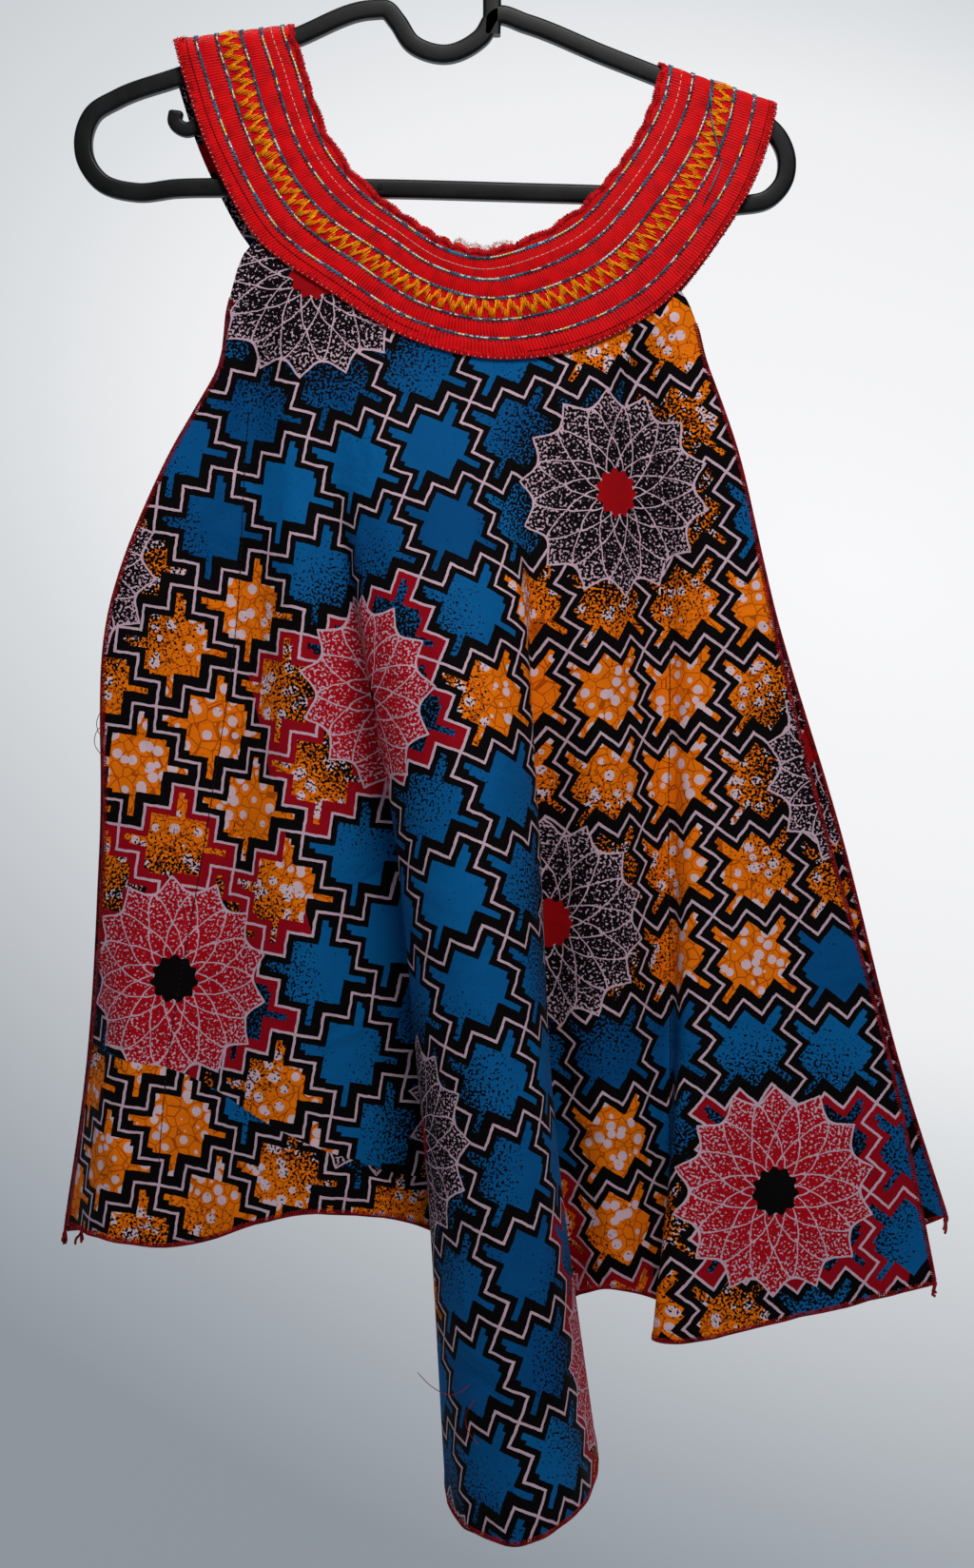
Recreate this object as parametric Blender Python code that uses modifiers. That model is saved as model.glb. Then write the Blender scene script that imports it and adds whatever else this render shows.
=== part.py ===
"""A child's sleeveless kaftan-cut dress of print cotton, hanging on a one-piece plastic hanger.

Sizes are in millimetres and turn into metres where a mesh is made. The origin is the top of the
inside of the hanger's hook, where it rests on its rail. +Z is up, +X is the wearer's left, and
the front of the dress faces -Y. "Forward" is how far a point stands out towards the front.

The body is a front and a back panel, which two seams join down the sides of the body. Outside
those seams the panels' edges hang free as wings. Each panel is drawn by its fold lines: the
ridges and valleys that run from the yoke down to the hem.
"""

import math

import bmesh
import bpy
import numpy as np

MM = 0.001

CLOTH_WALL = 1.2
YOKE_WALL = 1.6
SEWN_GAP = 0.3
SEAM_DEPTH = CLOTH_WALL + SEWN_GAP / 2  # how far out a panel's face is where front meets back
YOKE_OVERLAP = 9.0  # how far a panel runs up behind the yoke
YOKE_FREE_EDGE = 3.0  # how far below the yoke's edge the panel is still flat against it
BACK_NECK_DROP = 2.0
YOKE_DEPTH = 16.0  # how far forward the yoke's lowest point stands
SHOULDER_DEPTH = 8.0  # and how far its shoulders stand
PIECED_GAP = 0.6
EDGE_STEPS = 100  # places along each stretch of the yoke's edge where a fold line may start
MERGE_DISTANCE = 1e-6

ALLOWANCE_SPAN = (2.6, 5.95)  # yoke sections between which the left armhole's turning shows
ALLOWANCE_SHOWS = 5.0
ALLOWANCE_HIDDEN = 6.0
ALLOWANCE_STEPS = 9

HOOK_INNER_RADIUS = 20.0
HOOK_TURN = math.radians(212.0)
HOOK_POINTS = 22
BAR_WIDTH = 10.4
BAR_DEPTH = 9.0
BAR_CORNER = 1.8
STRAP_HOOK_SCALE = 0.8

# The yoke's sections, from the left shoulder's ridge round the neck to the right one's:
# inner edge across and height, outer edge across and height, forward.
YOKE_SECTIONS = (
    (-86, -93.6, -152, -102.1, 0.4),
    (-86, -94.1, -152, -102.6, 4.6),
    (-86, -96, -152, -104, 7.3),
    (-79, -117, -145, -130, 8.4),
    (-72, -140, -136, -158, 9.2),
    (-62, -164, -123, -187, 10.0),
    (-43, -187, -105, -217, 11.5),
    (-18, -206, -64, -247, 13.5),
    (3, -220, -19, -274, 15.0),
    (21, -225, 30, -286, YOKE_DEPTH),
    (45, -219, 78, -280, 15.5),
    (73, -205, 121, -258, 14.0),
    (97, -179, 157, -217, 11.5),
    (114, -153, 179, -180, 10.0),
    (123, -131, 188, -152, 8.6),
    (125, -118, 190, -141, 7.3),
    (125, -116.1, 190, -138.6, 4.6),
    (125, -115.6, 190, -138.1, 0.4),
)

# Heights of the three sections that every fold line passes through.
LEVELS = (-335, -430, -550)

# A row for each fold line, from the photograph's left to its right: where it leaves the yoke (in
# yoke sections); across, forward and height of a point under the arm; across, then forward, at
# the three levels; and across, forward and height low down and at the hem.
FRONT_FOLDS = {
    "left_edge": (6.02, (-127, 7, -289), (-153, -190, -193), (6, 5, 3),
                  (-203, -20, -676), (-220, -42, -784)),
    "left_wing": (6.16, (-116, 8.5, -290), (-134, -151, -161), (7, 9, 10),
                  (-181, 9, -683), (-187, 6, -786)),
    "left_seam": (6.30, (-108, 2.5, -292), (-112, -117, -134), (SEAM_DEPTH,) * 3,
                  (-157, SEAM_DEPTH, -688), (-165, SEAM_DEPTH, -790)),
    "left_body": (6.60, (-86, 11.5, -290), (-87, -83, -80), (14, 22, 28),
                  (-77, 30, -727), (-77, 30, -767)),
    "left_valley": (7.05, (-62, 13.5, -295), (-61, -50, -24), (15, 18, 8),
                    (-2, -2, -750), (3, -6, -787)),
    "flare_left": (7.50, (-46, 15, -302), (-47, -44, -26), (20, 42, 50),
                   (-11, 55, -700), (4, 60, -921)),
    "flare_left_turn": (7.90, (-29, 16.5, -306), (-31, -27, -11), (25, 58, 76),
                        (3, 86, -700), (19, 100, -927)),
    "flare_crest": (8.40, (-5, 18, -309), (-10, 0, 15), (29, 66, 88),
                    (27, 101, -700), (44, 120, -928)),
    "flare_right_turn": (8.95, (22, 18.5, -310), (15, 26, 38), (27, 60, 78),
                         (50, 89, -700), (70, 102, -919)),
    "flare_right": (9.50, (46, 17.5, -308), (37, 46, 54), (22, 44, 50),
                    (62, 55, -700), (86, 62, -904)),
    "right_valley": (9.90, (64, 16.5, -304), (54, 50, 52), (18, 27, 14),
                     (55, 4, -690), (75, -6, -820)),
    "right_body": (10.45, (92, 15.5, -297), (87, 89, 92), (19, 28, 30),
                   (94, 26, -690), (96, 18, -811)),
    "right_seam": (10.85, (114, 2.5, -290), (121, 129, 129), (SEAM_DEPTH,) * 3,
                   (130, SEAM_DEPTH, -690), (128, SEAM_DEPTH, -823)),
    "wing_fold": (11.00, (126, 8.5, -288), (131, 137, 139), (7, 8, 14),
                  (134, 22, -690), (118, 36, -836)),
    "right_wing": (11.15, (136, 9, -286), (147, 163, 175), (9, 10, 12),
                   (188, 17, -690), (202, 22, -826)),
    "right_edge": (11.33, (149.5, 7, -284), (167.5, 188, 218), (6, 4, 4),
                   (257, 5, -690), (281, 6, -810)),
}
BACK_FOLDS = {
    "left_edge": (6.04, (-128, 7, -289), (-154, -191, -196), (7, 7, 9),
                  (-207, 32, -690), (-224, 58, -790)),
    "left_wing": (6.18, (-117, 9, -290), (-135, -152, -163), (9, 11, 13),
                  (-183, 22, -690), (-190, 34, -784)),
    "left_seam": (6.30, (-108, 2.5, -292), (-112, -117, -134), (SEAM_DEPTH,) * 3,
                  (-157, SEAM_DEPTH, -688), (-165, SEAM_DEPTH, -788)),
    "left_body": (6.90, (-80, 12, -292), (-82, -78, -82), (15, 26, 32),
                  (-86, 36, -690), (-84, 40, -765)),
    "left_valley": (7.50, (-44, 14.5, -302), (-40, -36, -30), (18, 23, 24),
                    (-20, 24, -690), (-4, 26, -774)),
    "rear_left": (8.00, (-24, 16, -306), (-22, -16, -8), (21, 38, 46),
                  (2, 54, -690), (14, 60, -846)),
    "rear_left_turn": (8.40, (-4, 17, -308), (-4, 0, 9), (24, 48, 62),
                       (16, 72, -690), (25, 84, -862)),
    "rear_crest": (8.90, (18, 18, -310), (17, 20, 27), (25, 52, 70),
                   (33, 84, -690), (42, 98, -870)),
    "rear_right_turn": (9.30, (36, 18, -309), (35, 38, 44), (24, 48, 62),
                        (49, 75, -690), (59, 84, -866)),
    "rear_right": (9.70, (54, 17.5, -307), (50, 52, 56), (21, 38, 48),
                   (60, 56, -690), (70, 60, -854)),
    "right_valley": (10.10, (76, 16, -301), (73, 76, 78), (18, 23, 24),
                     (78, 25, -690), (79, 26, -794)),
    "right_body": (10.50, (94, 15, -296), (97, 101, 104), (15, 20, 26),
                   (106, 28, -690), (106, 30, -798)),
    "right_seam": (10.85, (114, 2.5, -290), (121, 129, 129), (SEAM_DEPTH,) * 3,
                   (130, SEAM_DEPTH, -690), (128, SEAM_DEPTH, -818)),
    "right_wing": (11.10, (135, 9, -286), (146, 160, 176), (8, 9, 12),
                   (198, 16, -690), (216, 18, -804)),
    "right_edge": (11.35, (150, 7, -284), (168, 191, 227), (6, 6, 8),
                   (263, 9, -690), (289, 7, -773)),
}
SEAMS = ("left_seam", "right_seam")
PIECED_TO = "left_valley"  # the front's lower left, as far as this fold, is a piece let in
LOW_SECTION = 6  # its place among a fold line's points, counted from behind the yoke

# Rows of mesh between a fold line's points: behind the yoke, then down to the hem.
ROWS_DOWN = (1, 2, 2, 3, 4, 4, 8)
COLUMNS_PER_FOLD = 3
YOKE_ROWS_ACROSS = 4

# The hanger's outline, as the middle of its bar: a closed loop from the top of the left arm,
# round the left end, along the lower bar, round the right end and up to the dip at the neck.
HANGER_LOOP = (
    (-39.5, -84.5), (-85.0, -101.0), (-152.0, -123.5), (-185.5, -135.5), (-199.0, -144.0),
    (-204.5, -157.0), (-203.5, -170.0), (-195.0, -182.5), (-174.0, -188.8), (-152.0, -186.6),
    (-125.0, -186.0), (-40.0, -186.6), (52.0, -189.0), (100.0, -190.5), (135.0, -192.5),
    (170.0, -196.0), (186.0, -192.5), (194.5, -183.0), (196.5, -171.0), (192.0, -158.0),
    (181.0, -147.5), (160.0, -138.0), (124.0, -123.0), (91.0, -110.0), (48.0, -92.5),
    (31.0, -88.0), (22.0, -100.5), (2.0, -110.0), (-17.0, -104.0), (-26.0, -91.0), (-32.0, -84.6),
)
LOOP_POINTS_PER_STEP = 4
STEM_POINTS_PER_STEP = 2
STRAP_HOOK_POINTS_PER_STEP = 3
STEM = ((28.0, -99.0), (28.4, -84.0), (27.6, -60.0), (25.6, -38.0))
LEFT_STRAP_HOOK = ((-137.0, -120.0), (-136.5, -138.0), (-138.5, -149.0), (-146.0, -153.0),
                   (-152.5, -148.5), (-152.0, -143.5))
RIGHT_STRAP_HOOK = ((136.5, -128.0), (137.5, -146.0), (140.5, -156.5), (148.0, -160.0),
                    (154.0, -155.0), (153.0, -150.0))

COLLECTION = "kaftan_dress_on_hanger"
MATERIALS = {
    "print_cotton": ((0.02, 0.09, 0.30), 0.85),
    "print_cotton_piece": ((0.06, 0.05, 0.09), 0.85),
    "print_cotton_back": ((0.30, 0.12, 0.03), 0.85),
    "print_cotton_turning": ((0.03, 0.02, 0.03), 0.85),
    "yoke_cotton": ((0.55, 0.01, 0.015), 0.75),
    "yoke_cotton_back": ((0.50, 0.01, 0.015), 0.75),
    "hanger_plastic": ((0.012, 0.012, 0.014), 0.38),
}


def clear_scene():
    for obj in list(bpy.data.objects):
        bpy.data.objects.remove(obj)


def new_collection(name, hidden=False):
    collection = bpy.data.collections.new(name)
    bpy.context.scene.collection.children.link(collection)
    collection.hide_render = hidden
    return collection


def new_material(name):
    colour, roughness = MATERIALS[name]
    material = bpy.data.materials.new(name)
    material.use_nodes = True
    shader = material.node_tree.nodes["Principled BSDF"]
    shader.inputs["Base Color"].default_value = (*colour, 1.0)
    shader.inputs["Roughness"].default_value = roughness
    shader.inputs["Metallic"].default_value = 0.0
    return material


def smooth_through(points, steps, level_at=(), closed=False):
    """Points on a smooth curve through these ones, with so many steps in each stretch.

    It works along the first axis, so a table of curves is refined in one go. The curve runs
    straight through in depth (the Y of each point) at the numbers in level_at.
    """
    points = np.asarray(points, float)
    if closed:
        points = np.concatenate([points[-1:], points, points[:2]])
    else:
        before = 2 * points[:1] - points[1:2]
        after = 2 * points[-1:] - points[-2:-1]
        points = np.concatenate([before, points, after])
    chord = np.linalg.norm(np.diff(points, axis=0), axis=-1, keepdims=True)
    slope = np.diff(points, axis=0) / chord
    share = chord[:-1] / (chord[:-1] + chord[1:])
    tangent = slope[:-1] * (1 - share) + slope[1:] * share
    for number in level_at:
        tangent[number, ..., 1] = 0.0
    refined = []
    for i, count in enumerate(steps):
        start, end, length = points[i + 1], points[i + 2], chord[i + 1]
        for t in np.arange(count) / count:
            refined.append(
                start * (2 * t**3 - 3 * t**2 + 1)
                + end * (3 * t**2 - 2 * t**3)
                + length * (tangent[i] * (t**3 - 2 * t**2 + t) + tangent[i + 1] * (t**3 - t**2))
            )
    if not closed:
        refined.append(points[-2])
    return np.array(refined)


def yoke_edge_points(side):
    """The yoke's inner and outer edges at each section; side is -1 in front and 1 behind."""
    drop = BACK_NECK_DROP / (YOKE_DEPTH - SHOULDER_DEPTH) if side > 0 else 0.0
    inner = [
        (row[0], side * row[4], row[1] - drop * max(row[4] - SHOULDER_DEPTH, 0.0))
        for row in YOKE_SECTIONS
    ]
    outer = [(row[2], side * row[4], row[3]) for row in YOKE_SECTIONS]
    return np.array(inner, float), np.array(outer, float)


def on_yoke(side, section, beyond):
    """A point in the yoke's face at this section, so many mm beyond its outer edge."""
    inner, outer = yoke_edge_points(side)
    steps = [EDGE_STEPS] * (len(YOKE_SECTIONS) - 1)
    place = round(section * EDGE_STEPS)
    edge = smooth_through(outer, steps)[place]
    neck = smooth_through(inner, steps)[place]
    outward = (edge - neck) / np.linalg.norm(edge - neck)
    return edge + outward * beyond


def fold_line(row, side):
    """A fold line's points, from the one behind the yoke down to the hem."""
    section, under_arm, across, forward, low, hem = row
    behind_yoke = np.array((0.0, -side * (YOKE_WALL + SEWN_GAP), 0.0))
    points = [
        on_yoke(side, section, -YOKE_OVERLAP) + behind_yoke,
        on_yoke(side, section, YOKE_FREE_EDGE) + behind_yoke,
    ]
    sections = [under_arm, *zip(across, forward, LEVELS), low, hem]
    points += [(x, side * y, z) for x, y, z in sections]
    return points


def panel_grid(folds, side):
    """The panel's outer face, as points by row (down) and column (across)."""
    names = list(folds)
    lines = np.array([fold_line(folds[name], side) for name in names], float)
    rows = smooth_through(lines.transpose(1, 0, 2), ROWS_DOWN)
    columns = smooth_through(
        rows.transpose(1, 0, 2),
        [COLUMNS_PER_FOLD] * (len(names) - 1),
        level_at=[names.index(name) for name in SEAMS],
    )
    grid = columns.transpose(1, 0, 2)
    for name in SEAMS:
        middle = names.index(name) * COLUMNS_PER_FOLD
        near = slice(middle - COLUMNS_PER_FOLD, middle + COLUMNS_PER_FOLD + 1)
        grid[:, near, 1] = side * np.maximum(side * grid[:, near, 1], SEAM_DEPTH)
    return grid


def yoke_grid(side):
    inner, outer = yoke_edge_points(side)
    steps = [COLUMNS_PER_FOLD] * (len(YOKE_SECTIONS) - 1)
    inner = smooth_through(inner, steps)
    outer = smooth_through(outer, steps)
    shares = np.linspace(0.0, 1.0, YOKE_ROWS_ACROSS + 1)
    return np.array([inner + (outer - inner) * share for share in shares])


def turning_grid():
    """The back's turned edge, which shows past the front yoke's left edge at the armhole."""
    sections = np.linspace(*ALLOWANCE_SPAN, ALLOWANCE_STEPS + 1)
    inside = np.array((0.0, -(YOKE_WALL + SEWN_GAP), 0.0))
    shows = [on_yoke(1, section, ALLOWANCE_SHOWS) for section in sections]
    hidden = [on_yoke(1, section, -ALLOWANCE_HIDDEN) for section in sections]
    return np.array([hidden, shows]) + inside


def in_pieced_part(row, column):
    """Whether the face after this row and column belongs to the piece let in at the lower left."""
    names = list(FRONT_FOLDS)
    first_row = sum(ROWS_DOWN[:LOW_SECTION])
    last_column = names.index(PIECED_TO) * COLUMNS_PER_FOLD
    return row >= first_row and column < last_column


def moved_apart(grid):
    """The grid of the pieced part, drawn in a little along its two seams."""
    first_row = sum(ROWS_DOWN[:LOW_SECTION])
    last_column = list(FRONT_FOLDS).index(PIECED_TO) * COLUMNS_PER_FOLD
    piece = grid[first_row:, : last_column + 1].copy()
    down = piece[1] - piece[0]
    piece[0] += down / np.linalg.norm(down, axis=1, keepdims=True) * PIECED_GAP
    left = piece[:, -2] - piece[:, -1]
    piece[:, -1] += left / np.linalg.norm(left, axis=1, keepdims=True) * PIECED_GAP
    return piece


def sheet_object(name, grid, wall, material, collection, side, keep=None):
    """A cloth piece: its outer face as an open grid, thickened inwards."""
    mesh = bpy.data.meshes.new(name)
    shape = bmesh.new()
    verts = [[shape.verts.new(point * MM) for point in row] for row in grid]
    for i in range(len(grid) - 1):
        for j in range(len(grid[0]) - 1):
            if keep and not keep(i, j):
                continue
            corners = (verts[i][j], verts[i + 1][j], verts[i + 1][j + 1], verts[i][j + 1])
            shape.faces.new(corners if side < 0 else corners[::-1])
    unused = [vert for vert in shape.verts if not vert.link_faces]
    bmesh.ops.delete(shape, geom=unused, context="VERTS")
    shape.to_mesh(mesh)
    shape.free()
    mesh.shade_smooth()
    obj = bpy.data.objects.new(name, mesh)
    collection.objects.link(obj)
    obj.data.materials.append(new_material(material))
    thicken = obj.modifiers.new("wall", "SOLIDIFY")
    thicken.thickness = wall * MM
    thicken.offset = -1.0
    thicken.use_quality_normals = True
    return obj


def bar_profile(name, scale, guides):
    """The bar's section, a rectangle with cut corners, for curves to sweep."""
    half_width, half_depth = scale * BAR_WIDTH / 2, scale * BAR_DEPTH / 2
    corner = scale * BAR_CORNER
    quarter = [(half_width, half_depth - corner), (half_width - corner, half_depth)]
    outline = quarter + [(-x, y) for x, y in reversed(quarter)]
    outline += [(-x, -y) for x, y in outline]
    curve = bpy.data.curves.new(name, "CURVE")
    curve.dimensions = "2D"
    curve.fill_mode = "NONE"
    add_spline(curve, outline, closed=True)
    obj = bpy.data.objects.new(name, curve)
    obj.hide_render = True
    obj.display_type = "WIRE"
    guides.objects.link(obj)
    return obj


def add_spline(curve, points, closed):
    spline = curve.splines.new("POLY")
    spline.points.add(len(points) - 1)
    for target, (x, y) in zip(spline.points, points):
        target.co = (x * MM, y * MM, 0.0, 1.0)
    spline.use_cyclic_u = closed


def swept_bar(name, points, closed, profile, collection):
    """A bar along a line in the hanger's plane, as a mesh object."""
    curve = bpy.data.curves.new(name + "_line", "CURVE")
    curve.dimensions = "2D"
    curve.fill_mode = "BOTH" if not closed else "NONE"
    curve.bevel_mode = "OBJECT"
    curve.bevel_object = profile
    curve.use_fill_caps = not closed
    add_spline(curve, points, closed)
    line = bpy.data.objects.new(name + "_line", curve)
    bpy.context.scene.collection.objects.link(line)
    graph = bpy.context.evaluated_depsgraph_get()
    mesh = bpy.data.meshes.new_from_object(line.evaluated_get(graph))
    bpy.data.objects.remove(line)
    shape = bmesh.new()
    shape.from_mesh(mesh)
    bmesh.ops.remove_doubles(shape, verts=shape.verts, dist=MERGE_DISTANCE)
    bmesh.ops.recalc_face_normals(shape, faces=shape.faces)
    for vert in shape.verts:
        across, height, depth = vert.co
        vert.co = (across, -depth, height)
    shape.to_mesh(mesh)
    shape.free()
    mesh.name = name
    obj = bpy.data.objects.new(name, mesh)
    collection.objects.link(obj)
    return obj


def hook_line():
    """The stem and the hook over it, in the hanger's plane."""
    radius = HOOK_INNER_RADIUS + BAR_WIDTH / 2
    stem = smooth_through(STEM, [STEM_POINTS_PER_STEP] * (len(STEM) - 1))
    angles = np.linspace(0.0, HOOK_TURN, HOOK_POINTS)
    arc = [(radius * math.cos(a), radius * math.sin(a) - HOOK_INNER_RADIUS) for a in angles]
    return [*map(tuple, stem), *arc]


def joined(body, added, cutters):
    """Adds one mesh to another with a Boolean union, and hides the added one."""
    cutters.objects.link(added)
    bpy.context.scene.collection.objects.unlink(added)
    added.hide_render = True
    added.display_type = "WIRE"
    union = body.modifiers.new("join_" + added.name, "BOOLEAN")
    union.operation = "UNION"
    union.object = added


def build_hanger(parts, cutters):
    profile = bar_profile("bar_section", 1.0, cutters)
    thin = bar_profile("strap_hook_section", STRAP_HOOK_SCALE, cutters)
    steps = [LOOP_POINTS_PER_STEP] * len(HANGER_LOOP)
    loop = smooth_through(HANGER_LOOP, steps, closed=True)
    hanger = swept_bar("hanger", loop, True, profile, parts)
    loose = bpy.context.scene.collection
    joined(hanger, swept_bar("hook", hook_line(), False, profile, loose), cutters)
    for name, line in (("strap_hook_left", LEFT_STRAP_HOOK), ("strap_hook_right", RIGHT_STRAP_HOOK)):
        points = smooth_through(line, [STRAP_HOOK_POINTS_PER_STEP] * (len(line) - 1))
        joined(hanger, swept_bar(name, points, False, thin, loose), cutters)
    hanger.data.materials.append(new_material("hanger_plastic"))
    return hanger


def build_dress(parts):
    front = panel_grid(FRONT_FOLDS, -1)
    back = panel_grid(BACK_FOLDS, 1)
    sheet_object("front_panel", front, CLOTH_WALL, "print_cotton", parts, -1,
                 keep=lambda i, j: not in_pieced_part(i, j))
    sheet_object("front_lower_piece", moved_apart(front), CLOTH_WALL,
                 "print_cotton_piece", parts, -1)
    sheet_object("back_panel", back, CLOTH_WALL, "print_cotton_back", parts, 1)
    sheet_object("front_yoke", yoke_grid(-1), YOKE_WALL, "yoke_cotton", parts, -1)
    sheet_object("back_yoke", yoke_grid(1), YOKE_WALL, "yoke_cotton_back", parts, 1)
    sheet_object("left_armhole_turning", turning_grid(), CLOTH_WALL,
                 "print_cotton_turning", parts, 1)


def main():
    clear_scene()
    parts = new_collection(COLLECTION)
    cutters = new_collection("cutters_and_guides", hidden=True)
    build_dress(parts)
    build_hanger(parts, cutters)


main()
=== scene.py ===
"""The looks of a sleeveless kaftan-cut dress of wax-printed cotton, on a one-piece plastic hanger.

Sizes are in millimetres in the tables and in metres in the meshes. The origin is the top of the
inside of the hanger's hook, +X is the wearer's left, and the front faces -Y. The cloth follows the
same fold lines as its solids, at a finer pitch, with soft creases laid over them.
"""

import functools
import math

import bpy
import numpy as np
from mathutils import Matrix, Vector


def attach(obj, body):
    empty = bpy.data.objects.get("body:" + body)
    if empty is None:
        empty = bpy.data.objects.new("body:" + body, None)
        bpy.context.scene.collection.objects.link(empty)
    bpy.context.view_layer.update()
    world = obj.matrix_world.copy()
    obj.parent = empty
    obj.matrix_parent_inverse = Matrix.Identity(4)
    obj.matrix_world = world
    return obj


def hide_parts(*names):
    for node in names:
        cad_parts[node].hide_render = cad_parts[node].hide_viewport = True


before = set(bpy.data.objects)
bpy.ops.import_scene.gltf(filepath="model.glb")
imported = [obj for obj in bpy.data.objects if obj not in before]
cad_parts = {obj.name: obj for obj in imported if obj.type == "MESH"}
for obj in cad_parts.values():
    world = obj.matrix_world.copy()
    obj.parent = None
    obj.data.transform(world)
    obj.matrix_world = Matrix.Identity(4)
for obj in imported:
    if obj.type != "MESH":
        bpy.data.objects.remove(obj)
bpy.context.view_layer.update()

MM = 0.001
rng = np.random.default_rng(17)

# Sizes shared with the solids

CLOTH_WALL = 1.2
YOKE_WALL = 1.6
SEWN_GAP = 0.3
SEAM_DEPTH = CLOTH_WALL + SEWN_GAP / 2
YOKE_OVERLAP = 9.0
YOKE_FREE_EDGE = 3.0
BACK_NECK_DROP = 2.0
YOKE_DEPTH = 16.0
SHOULDER_DEPTH = 8.0
ALLOWANCE_SPAN = (2.6, 5.95)
ALLOWANCE_SHOWS = 5.0
ALLOWANCE_HIDDEN = 6.0
HOOK_INNER_RADIUS = 20.0
HOOK_TURN = math.radians(212.0)
BAR_WIDTH = 10.4
BAR_DEPTH = 9.0
STRAP_HOOK_SCALE = 0.8

# Yoke sections: inner edge across and height, outer edge across and height, forward.
YOKE_SECTIONS = (
    (-86, -93.6, -152, -102.1, 0.4),
    (-86, -94.1, -152, -102.6, 4.6),
    (-86, -96, -152, -104, 7.3),
    (-79, -117, -145, -130, 8.4),
    (-72, -140, -136, -158, 9.2),
    (-62, -164, -123, -187, 10.0),
    (-43, -187, -105, -217, 11.5),
    (-18, -206, -64, -247, 13.5),
    (3, -220, -19, -274, 15.0),
    (21, -225, 30, -286, YOKE_DEPTH),
    (45, -219, 78, -280, 15.5),
    (73, -205, 121, -258, 14.0),
    (97, -179, 157, -217, 11.5),
    (114, -153, 179, -180, 10.0),
    (123, -131, 188, -152, 8.6),
    (125, -118, 190, -141, 7.3),
    (125, -116.1, 190, -138.6, 4.6),
    (125, -115.6, 190, -138.1, 0.4),
)

LEVELS = (-335, -430, -550)

# Fold lines: yoke section; point under the arm; across and forward at the levels; low; hem.
FRONT_FOLDS = {
    "left_edge": (6.02, (-127, 7, -289), (-153, -190, -193), (6, 5, 3),
                  (-203, -20, -676), (-220, -42, -784)),
    "left_wing": (6.16, (-116, 8.5, -290), (-134, -151, -161), (7, 9, 10),
                  (-181, 9, -683), (-187, 6, -786)),
    "left_seam": (6.30, (-108, 2.5, -292), (-112, -117, -134), (SEAM_DEPTH,) * 3,
                  (-157, SEAM_DEPTH, -688), (-165, SEAM_DEPTH, -790)),
    "left_body": (6.60, (-86, 11.5, -290), (-87, -83, -80), (14, 22, 28),
                  (-77, 30, -727), (-77, 30, -767)),
    "left_valley": (7.05, (-62, 13.5, -295), (-61, -50, -24), (15, 18, 8),
                    (-2, -2, -750), (3, -6, -787)),
    "flare_left": (7.50, (-46, 15, -302), (-47, -44, -26), (20, 42, 50),
                   (-11, 55, -700), (4, 60, -921)),
    "flare_left_turn": (7.90, (-29, 16.5, -306), (-31, -27, -11), (25, 58, 76),
                        (3, 86, -700), (19, 100, -927)),
    "flare_crest": (8.40, (-5, 18, -309), (-10, 0, 15), (29, 66, 88),
                    (27, 101, -700), (44, 120, -928)),
    "flare_right_turn": (8.95, (22, 18.5, -310), (15, 26, 38), (27, 60, 78),
                         (50, 89, -700), (70, 102, -919)),
    "flare_right": (9.50, (46, 17.5, -308), (37, 46, 54), (22, 44, 50),
                    (62, 55, -700), (86, 62, -904)),
    "right_valley": (9.90, (64, 16.5, -304), (54, 50, 52), (18, 27, 14),
                     (55, 4, -690), (75, -6, -820)),
    "right_body": (10.45, (92, 15.5, -297), (87, 89, 92), (19, 28, 30),
                   (94, 26, -690), (96, 18, -811)),
    "right_seam": (10.85, (114, 2.5, -290), (121, 129, 129), (SEAM_DEPTH,) * 3,
                   (130, SEAM_DEPTH, -690), (128, SEAM_DEPTH, -823)),
    "wing_fold": (11.00, (126, 8.5, -288), (131, 137, 139), (7, 8, 14),
                  (134, 22, -690), (118, 36, -836)),
    "right_wing": (11.15, (136, 9, -286), (147, 163, 175), (9, 10, 12),
                   (188, 17, -690), (202, 22, -826)),
    "right_edge": (11.33, (149.5, 7, -284), (167.5, 188, 218), (6, 4, 4),
                   (257, 5, -690), (281, 6, -810)),
}
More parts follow.
